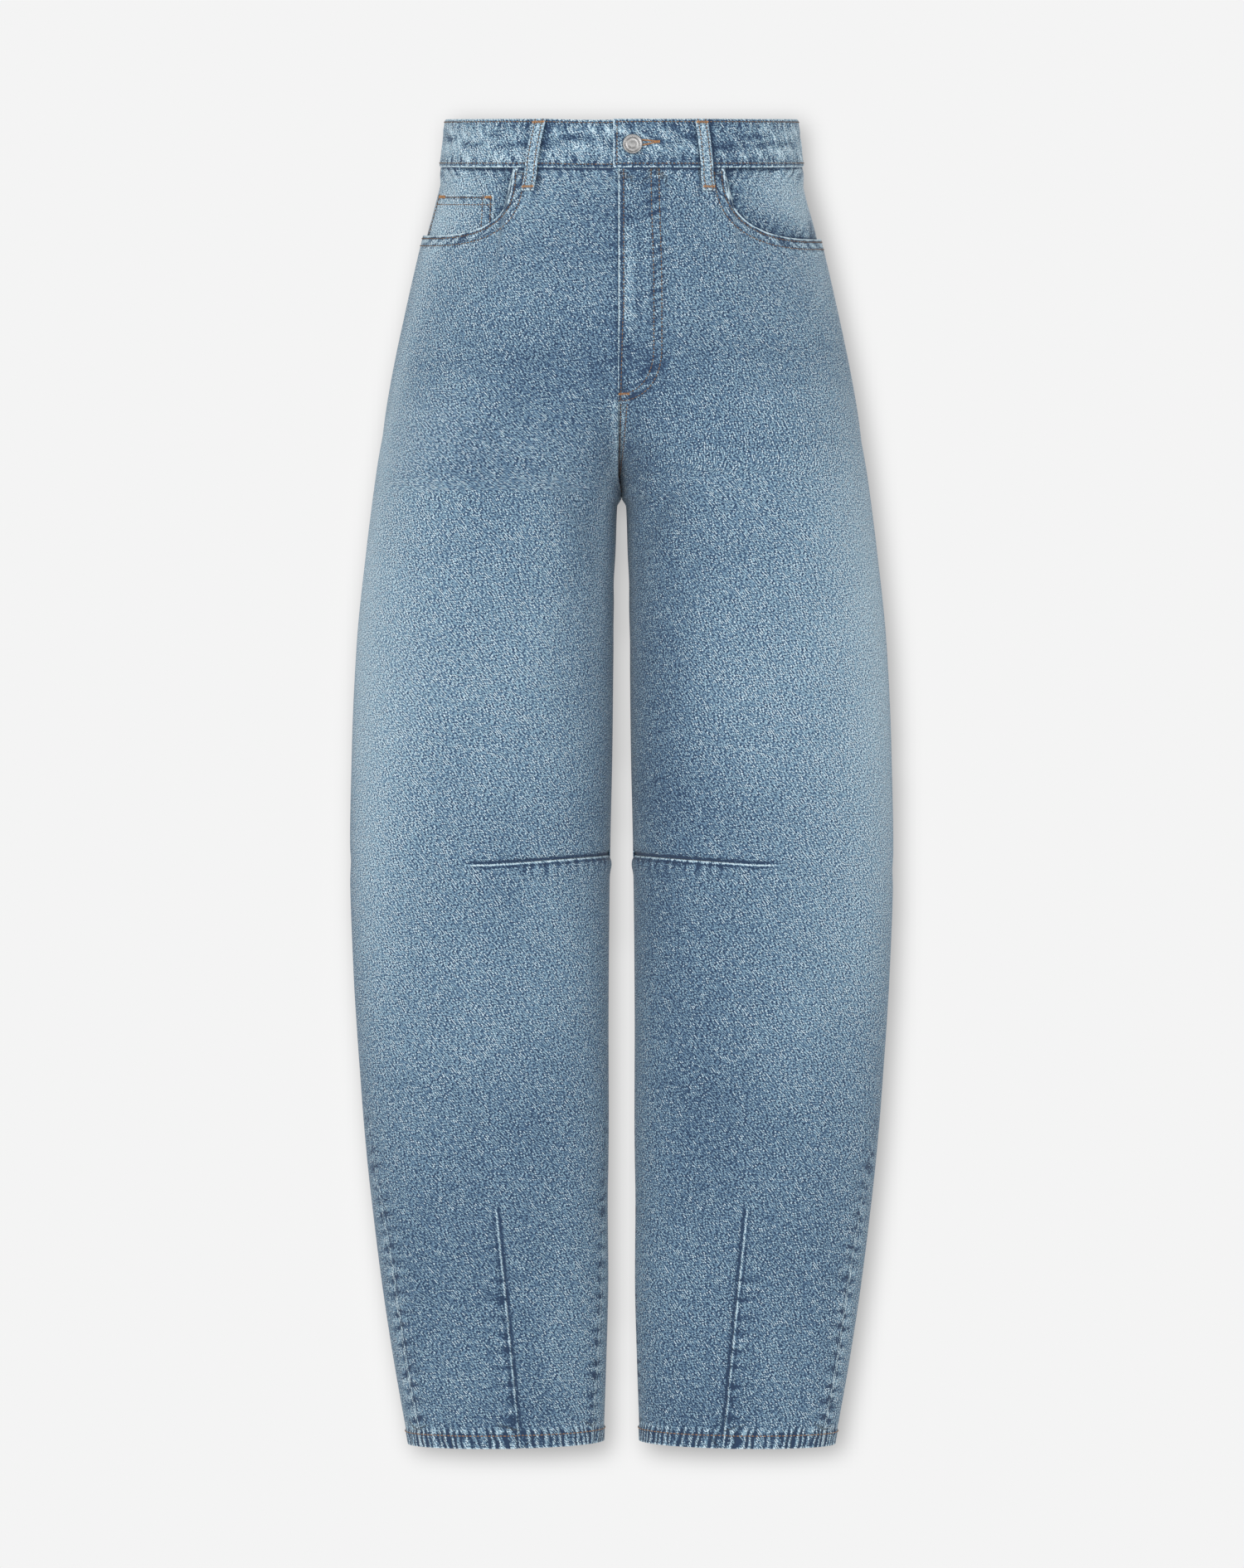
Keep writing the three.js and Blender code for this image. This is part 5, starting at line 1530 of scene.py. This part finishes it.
def fly_rows():
    rows = []
    down = span(-40, FLY_END + 3)
    rows.append(on_front(down, inner_angle(down, 1, True) - CENTRE_ROWS[0] / round_mm(down), 1))
    for top_x, low_x, end_level in FLY_ROWS:
        level = span(-40, FLY_BEND)
        x = mix(top_x, low_x, smooth((-40 - level) / 100))
        t = np.linspace(0, np.pi / 2, 50)[1:]
        x = np.concatenate([x, FLY_EDGE_X + (low_x - FLY_EDGE_X) * np.cos(t) ** FLY_ROUNDNESS])
        level = np.concatenate([level, FLY_BEND + (end_level - FLY_BEND) * np.sin(t) ** FLY_ROUNDNESS])
        rows.append(on_front(level, angle_at_x(level, True, x), 1))
    down = span(FLY_END - 3, -296)
    for off in CENTRE_ROWS:
        rows.append(on_front(down, inner_angle(down, 1, True) - off / round_mm(down), 1))
    return rows


def hem_rows():
    rows = []
    for leg in LEGS.values():
        level = HEM_LEVEL + HEM_ROW
        share = np.linspace(0.004, 0.996, 120)
        front = mix(inner_angle(level, leg, True), outseam_angle(level), share)
        rows.append(on_front(np.full(120, level), front, leg))
        rows.append(on_back(np.full(120, level), back_angle(level, leg, share), leg))
    return rows


def seat_rows():
    rows = []
    for leg in LEGS.values():
        share = np.linspace(0.01, 0.99, 120)
        for off in TWIN_ROWS:
            level = yoke_level(share) + off
            rows.append(on_back(level, back_angle(level, leg, share), leg))
    down = span(-42, -294)
    for off in SEAT_ROWS:
        rows.append(on_back(down, inner_angle(down, 1, False) + off / leg_section(down, False)[1], 1))
    return rows


def band_rows():
    rows = []
    for level in (-2.4, -BAND_HEIGHT + 3.1):
        along = np.linspace(0.008, 0.9955, 900)
        rows.append(on_band(np.full(900, float(level)), band_turn(level, along)))
    down = span(-2.6, -BAND_HEIGHT + 3)
    turn = np.arccos(signed_power((BAND_END_X + 2.9) / form["outer"](down), SECTION_POWER / 2)) + 2 * np.pi
    rows.append(on_band(down, turn))
    return rows


def patch_rows(leg):
    rows = []
    for off in TWIN_ROWS:
        side, top = off / 140, off / 122
        down = np.linspace(0.01, 1 - top, 80)
        across = np.linspace(side, 1 - side, 100)
        share = np.concatenate([np.full(80, side), across, np.full(80, 1 - side)])
        rows.append((np.concatenate([down, np.full(100, 1 - top), down[::-1]]), share))
    rows.append((np.full(120, 0.10), np.linspace(0.06, 0.94, 120)))  # the fold at the pocket's top
    made = []
    for down, share in rows:
        level, angle = patch_lines(down, share)
        lift = cloth_height(level, angle, leg) + PATCH_GAP + PATCH_WALL * 1.2 + THREAD_RISE
        made.append(form_point(level, angle, leg) + form_normal(level, angle, leg) * lift[..., None])
    return made


def coin_rows():
    made = []
    across, upright = np.linspace(0.02, 0.98, 60), np.linspace(0.02, 0.98, 50)
    rows = [(np.full(60, at), across) for at in (0.05, 0.18)]
    rows += [(upright, np.full(50, at)) for at in (0.03, 0.12, 0.965)]
    for down, share in rows:
        level = mix(COIN_TOP, COIN_BOTTOM, down)
        angle = mix(angle_at_x(level, True, COIN_RIGHT_X), math.radians(COIN_LEFT_ANGLE), share)
        lift = SEAM_GAP - FACING_INSET + COIN_WALL * 1.1 + THREAD_RISE
        made.append(form_point(level, angle, -1) + form_normal(level, angle, -1) * lift)
    return made


def on_loop(key, down, across, out=THREAD_RISE):
    start, normal, aside = loop_frame(key, down)
    rise = np.broadcast_to(loop_wall(down) + out, down.shape)
    return start + aside * np.asarray(across)[..., None] + normal * rise[..., None]


def loop_rows(key):
    down = np.linspace(0.02, 0.98, 60)
    return [on_loop(key, down, np.full(60, side)) for side in (-2.9, 2.9)]


front_rows = fly_rows() + coin_rows() + mouth_rows(-1) + mouth_rows(1)
back_rows = seat_rows() + patch_rows(-1) + patch_rows(1)
trim_rows = band_rows() + [row for key in LOOPS for row in loop_rows(key)]
stitches = [run_tree("front_stitching", trees["row"], front_rows, tan_thread),
            run_tree("hem_stitching", trees["row"], hem_rows(), brown_thread),
            run_tree("back_stitching", trees["row"], back_rows, tan_thread),
            run_tree("trim_stitching", trees["row"], trim_rows, tan_thread)]
for obj in stitches:
    print(obj.name, len(obj.data.polygons), "faces")

# %% [markdown]
# ## Bar tacks, buttonhole and beads
# Where a seam could tear open, a machine sews a short dense zigzag: at both ends of each belt loop, at the
# end of the fly and beside the coin pocket. The buttonhole has one along each of its sides, round an eye for
# the shank. A zigzag is one path, so the sweep tree makes it. The button's beads are a row like the stitches.

# %% Bar tacks, buttonhole and beads
HOLE_FROM, HOLE_TO, HOLE_EYE, HOLE_SLIT, HOLE_RISE = 13, 29.5, 2.1, 0.35, 0.06
TACK_HEIGHT, TACK_STEP, TACK_RADIUS, HOLE_SWING = 1.7, 0.38, 0.00038, 0.55
BEAD_RING, BEAD_HEIGHT, BEAD_PITCH, BEAD_SIZE = 5.65, 2.45, 0.00148, 0.00075


def zigzag(lines, height_mm, step_mm):
    """Turns each straight run into one thread that goes up and down across it."""
    made = []
    for start, end, up in lines:
        count = max(4, int(np.linalg.norm(end - start) / step_mm))
        t = np.linspace(0, 1, count)[:, None]
        swing = np.where(np.arange(count) % 2, 0.5, -0.5)[:, None] * height_mm
        made.append(start + (end - start) * t + up * swing)
    return made


def loop_tacks():
    lines = []
    for key in LOOPS:
        for down in (0.045, 0.95):
            d = np.array([down, down])
            ends = on_loop(key, d, np.array([-4.6, 4.6]), 0.25)
            up = unit(on_loop(key, np.array([down - 0.03]), np.array([0.0]))[0]
                      - on_loop(key, np.array([down]), np.array([0.0]))[0])
            lines.append((ends[0], ends[1], up))
    return lines


def front_tack(level, x_from, x_to, leg, out):
    level = np.array([level, level], float)
    ends = on_front(level, angle_at_x(level, True, np.array([x_from, x_to])), leg, out)
    return ends[0], ends[1], np.array([0.0, 0.0, 1.0])


def buttonhole():
    made = []
    for side in (-1, 1):
        x = np.linspace(HOLE_FROM, HOLE_TO, 74)
        gap = side * mix(HOLE_EYE, HOLE_SLIT, smooth((x - 14) / 15))
        level = BUTTON_LEVEL + 1.3 + gap + HOLE_RISE * (x - HOLE_FROM)
        turn = np.arccos(signed_power(x / form["outer"](level), SECTION_POWER / 2))
        swing = np.where(np.arange(74) % 2, HOLE_SWING, -HOLE_SWING) * side
        made.append(on_band(level + swing, turn + 2 * np.pi, 0.3))
    return made


coin_out = SEAM_GAP - FACING_INSET + COIN_WALL + 0.4
tack_lines = loop_tacks() + [front_tack(-222.5, -1.6, 6.2, 1, 0.3),
                             front_tack(COIN_TOP - 2, 103, 108, -1, coin_out),
                             front_tack(COIN_TOP - 2, 141, 146, -1, coin_out)]
tack_threads = zigzag(tack_lines, TACK_HEIGHT, TACK_STEP) + buttonhole()
tacks = run_tree("bar_tacks", trees["sweep"], tack_threads, orange_thread, Radius=TACK_RADIUS)
circle = [np.array([on_button(BEAD_RING, 2 * math.pi * k / 72, BEAD_HEIGHT) / MM for k in range(73)])]
beads = run_tree("button_beads", trees["beads"], circle, steel, Pitch=BEAD_PITCH, Size=BEAD_SIZE)
print("tacks:", len(tacks.data.polygons), "faces; beads:", len(beads.data.polygons), "faces")

# %% [markdown]
# ## Attaching the pieces
# Every piece rides on the part's one body and stands for the solid it dresses. Each cloth piece also states
# the size it was cut to, and its area measured here from its own faces, counted once.

# %% Rides, replaced solids and cut sizes
def cut_area(obj):
    mesh = obj.data
    areas, slots = np.empty(len(mesh.polygons)), np.empty(len(mesh.polygons), np.int32)
    mesh.polygons.foreach_get("area", areas)
    mesh.polygons.foreach_get("material_index", slots)
    return float(areas.sum() / 2) if len(mesh.materials) == 1 else float(areas[slots == INSIDE].sum())


def declare(obj, node, width, length):
    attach(obj, "root")
    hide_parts(node)
    area = min(cut_area(obj), width * length)
    print(obj.name, "cut", round(width, 3), "x", round(length, 3), "m, area", round(area, 4), "m2")


for side in LEGS:
    declare(fronts[side], f"front_panel_{side}", 0.34, 1.02)
    declare(backs[side], f"back_panel_{side}", 0.40, 1.00)
    declare(yokes[side], f"yoke_{side}", 0.20, 0.068)
    declare(facings[side], f"pocket_facing_{side}", 0.14, 0.075)
    declare(patches[side], f"back_pocket_{side}", 0.17, 0.15)
declare(coin, "coin_pocket", 0.075, 0.05)
declare(band, "waistband", 0.80, 0.042)
for key, obj in loops.items():
    declare(obj, f"belt_loop_{key}", 0.0135, 0.056)
for obj in stitches:
    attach(obj, "root")
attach(tacks, "root")
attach(cap, "root")
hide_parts("button")
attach(beads, "root")

# %% [markdown]
# ## Camera
# The picture of the garment was taken straight from the front with a long lens, so that its sides hardly turn
# away. The camera stands 4.4 m away, level with the picture's middle, and its lens follows from that distance
# and from how many millimetres one pixel covers.

# %% Camera
PHOTO_HEIGHT, PHOTO_WAIST_ROW, MM_PER_PIXEL = 1891, 144, 0.66
DISTANCE, SENSOR, ASIDE = 4.4, 36, 0.0003
EYE_LEVEL = (PHOTO_WAIST_ROW - PHOTO_HEIGHT / 2) * MM_PER_PIXEL

camera_data = bpy.data.cameras.new("camera")
camera = bpy.data.objects.new("camera", camera_data)
bpy.context.collection.objects.link(camera)
camera.location = (ASIDE, -DISTANCE, EYE_LEVEL * MM)
camera.rotation_euler = (math.radians(90), 0, 0)
camera_data.sensor_width = SENSOR
camera_data.lens = SENSOR * DISTANCE / (PHOTO_HEIGHT * MM_PER_PIXEL * MM)
bpy.context.scene.camera = camera
print("lens", round(camera_data.lens, 2), "mm")

# %% [markdown]
# ## Floor and shadow card
# The garment hangs over a plain pale floor that only catches its shadow. In the picture it also throws a soft
# shadow to the right and downwards, on nothing that can be seen. A wall that catches shadows would tint the
# cloth in views from behind. So a clear card stands behind the garment and is tinted with the outline's own
# shape, blurred and moved a little. Each vertex of the card holds one value, and from behind it stays clear.

# %% Floor
FLOOR_DROP, FLOOR_REACH, FLOOR_ENDS = 0.15, 6, 0.14


def pale_floor():
    z = HEM_LEVEL * MM - FLOOR_DROP
    corners = [(-1, -FLOOR_REACH), (1, -FLOOR_REACH), (1, FLOOR_ENDS), (-1, FLOOR_ENDS)]
    floor = make_mesh("floor", [(FLOOR_REACH * side, y, z) for side, y in corners], [(0, 1, 2, 3)])
    material = bpy.data.materials.new("floor paint")
    material.use_nodes = True
    surface = material.node_tree.nodes["Principled BSDF"]
    surface.inputs["Base Color"].default_value = (0.9, 0.9, 0.9, 1)
    surface.inputs["Roughness"].default_value = 0.9
    floor.data.materials.append(material)
    floor.is_shadow_catcher = True
    return floor


pale_floor()
print("floor at", round(HEM_LEVEL * MM - FLOOR_DROP, 3), "m")

# %% Shadow card
CARD_BEHIND, CARD_STEP, OUTLINE_STEP = 0.15, 5.0, 1.25
SHADOWS = [(5.0, 4.7, 9.3, 0.50), (4.1, 5.3, 11.7, -0.19)]  # right, down, softness in mm, depth
TINT_POWER = 2.25


def outline_mask(x, z):
    """1 inside the garment's outline as the camera sees it, 0 outside it and in the gap between the legs."""
    across, low = np.abs(x), np.clip(z, HEM_LEVEL, 0)
    outer = form["outer"](low)
    gap = np.where(low < CROTCH_LEVEL, form["inner"](low), -1)
    bow = 5 * np.clip(1 - ((across - 92) / 78) ** 2, 0, 1)
    return ((across < outer) & (across > gap) & (z < 1) & (z > HEM_LEVEL - bow)).astype(float)


def shadow_card():
    """A clear card behind the garment, tinted with the outline's soft shadow. It is clear from behind."""
    fine_x, fine_z = np.arange(-240, 240, OUTLINE_STEP), np.arange(20, -1090, -OUTLINE_STEP)
    mask = outline_mask(*np.meshgrid(fine_x, fine_z))
    x, z = np.arange(-300, 301, CARD_STEP), np.arange(70, -1131, -CARD_STEP)
    shade = np.zeros((len(z), len(x)))
    for right, down, soft, depth in SHADOWS:
        over_x = np.exp(-((x[:, None] - right - fine_x) ** 2) / (2 * soft ** 2))
        over_z = np.exp(-((z[:, None] + down - fine_z) ** 2) / (2 * soft ** 2))
        shade += depth * (OUTLINE_STEP ** 2 / (2 * np.pi * soft ** 2)) * (over_z @ mask @ over_x.T)
    grow = (DISTANCE + CARD_BEHIND) / DISTANCE
    wide, tall = np.meshgrid(x * grow, EYE_LEVEL + (z - EYE_LEVEL) * grow)
    places = np.stack([wide * MM, np.full_like(wide, CARD_BEHIND), tall * MM], axis=-1)
    index = np.arange(wide.size).reshape(wide.shape)
    faces = quads(index[:-1, :-1], index[1:, :-1], index[1:, 1:], index[:-1, 1:]).tolist()
    card = make_mesh("shadow card", places.reshape(-1, 3).tolist(), faces)
    set_values(card.data, {"shade": shade})
    material = bpy.data.materials.new("shadow tint")
    material.use_nodes = True
    tree = material.node_tree
    tree.nodes.clear()
    shown = add(tree, "ShaderNodeAttribute", attribute_name="shade").outputs["Fac"]
    tint = calc(tree, "POWER", calc(tree, "SUBTRACT", 1.0, shown), TINT_POWER)
    tint = calc(tree, "MAXIMUM", tint, add(tree, "ShaderNodeNewGeometry").outputs["Backfacing"])
    clear = add(tree, "ShaderNodeBsdfTransparent", {"Color": tint}).outputs[0]
    tree.links.new(clear, add(tree, "ShaderNodeOutputMaterial").inputs["Surface"])
    card.data.materials.append(material)
    card.visible_shadow = card.visible_diffuse = card.visible_glossy = False
    return card


card = shadow_card()
print("shadow card:", len(card.data.polygons), "faces")

# %% [markdown]
# ## Light
# The light is the soft, nearly even one of a studio: a broad light from the front left, a weaker one from the
# right, one straight from the front, and one behind for views of the back. The surround that the camera sees
# is the pale grey of the picture, and the one that lights the cloth is set apart from it.

# %% Surround and lights
SURROUND_SEEN, SURROUND_TINT, SURROUND_LIGHT = (0.905, 0.905, 0.905, 1), (0.96, 0.98, 1.0, 1), 0.60
LIGHTS = {  # place, width and height, power
    "front left": ((-1.8, -3.0, 0.6), (1.6, 2.2), 50), "front right": ((2.0, -3.0, 0.2), (1.6, 2.2), 26),
    "front": ((0, -5, -0.4), (2.4, 2.4), 40), "behind": ((0.6, 3.0, 1.0), (2.0, 2.0), 40)}
LIGHT_AIM = (0, 0, -0.5)


def surround():
    world = bpy.data.worlds.new("studio")
    bpy.context.scene.world = world
    world.use_nodes = True
    tree = world.node_tree
    tree.nodes.clear()
    seen, tint = {"Color": SURROUND_SEEN, "Strength": 1.0}, {"Color": SURROUND_TINT, "Strength": SURROUND_LIGHT}
    shown, lit = [add(tree, "ShaderNodeBackground", values).outputs[0] for values in (seen, tint)]
    eye = add(tree, "ShaderNodeLightPath").outputs["Is Camera Ray"]
    both = add(tree, "ShaderNodeMixShader", {0: eye, 1: lit, 2: shown}).outputs[0]
    tree.links.new(both, add(tree, "ShaderNodeOutputWorld").inputs["Surface"])


def soft_light(name, place, size, power):
    data = bpy.data.lights.new(name, "AREA")
    data.shape, data.size, data.size_y, data.energy = "RECTANGLE", *size, power
    obj = bpy.data.objects.new(name, data)
    bpy.context.collection.objects.link(obj)
    obj.location = place
    obj.rotation_euler = (Vector(LIGHT_AIM) - obj.location).to_track_quat("-Z", "Y").to_euler()


surround()
for name, (place, size, power) in LIGHTS.items():
    soft_light(name, place, size, power)
bpy.context.scene.view_settings.view_transform = "Standard"
print("lights:", list(LIGHTS))
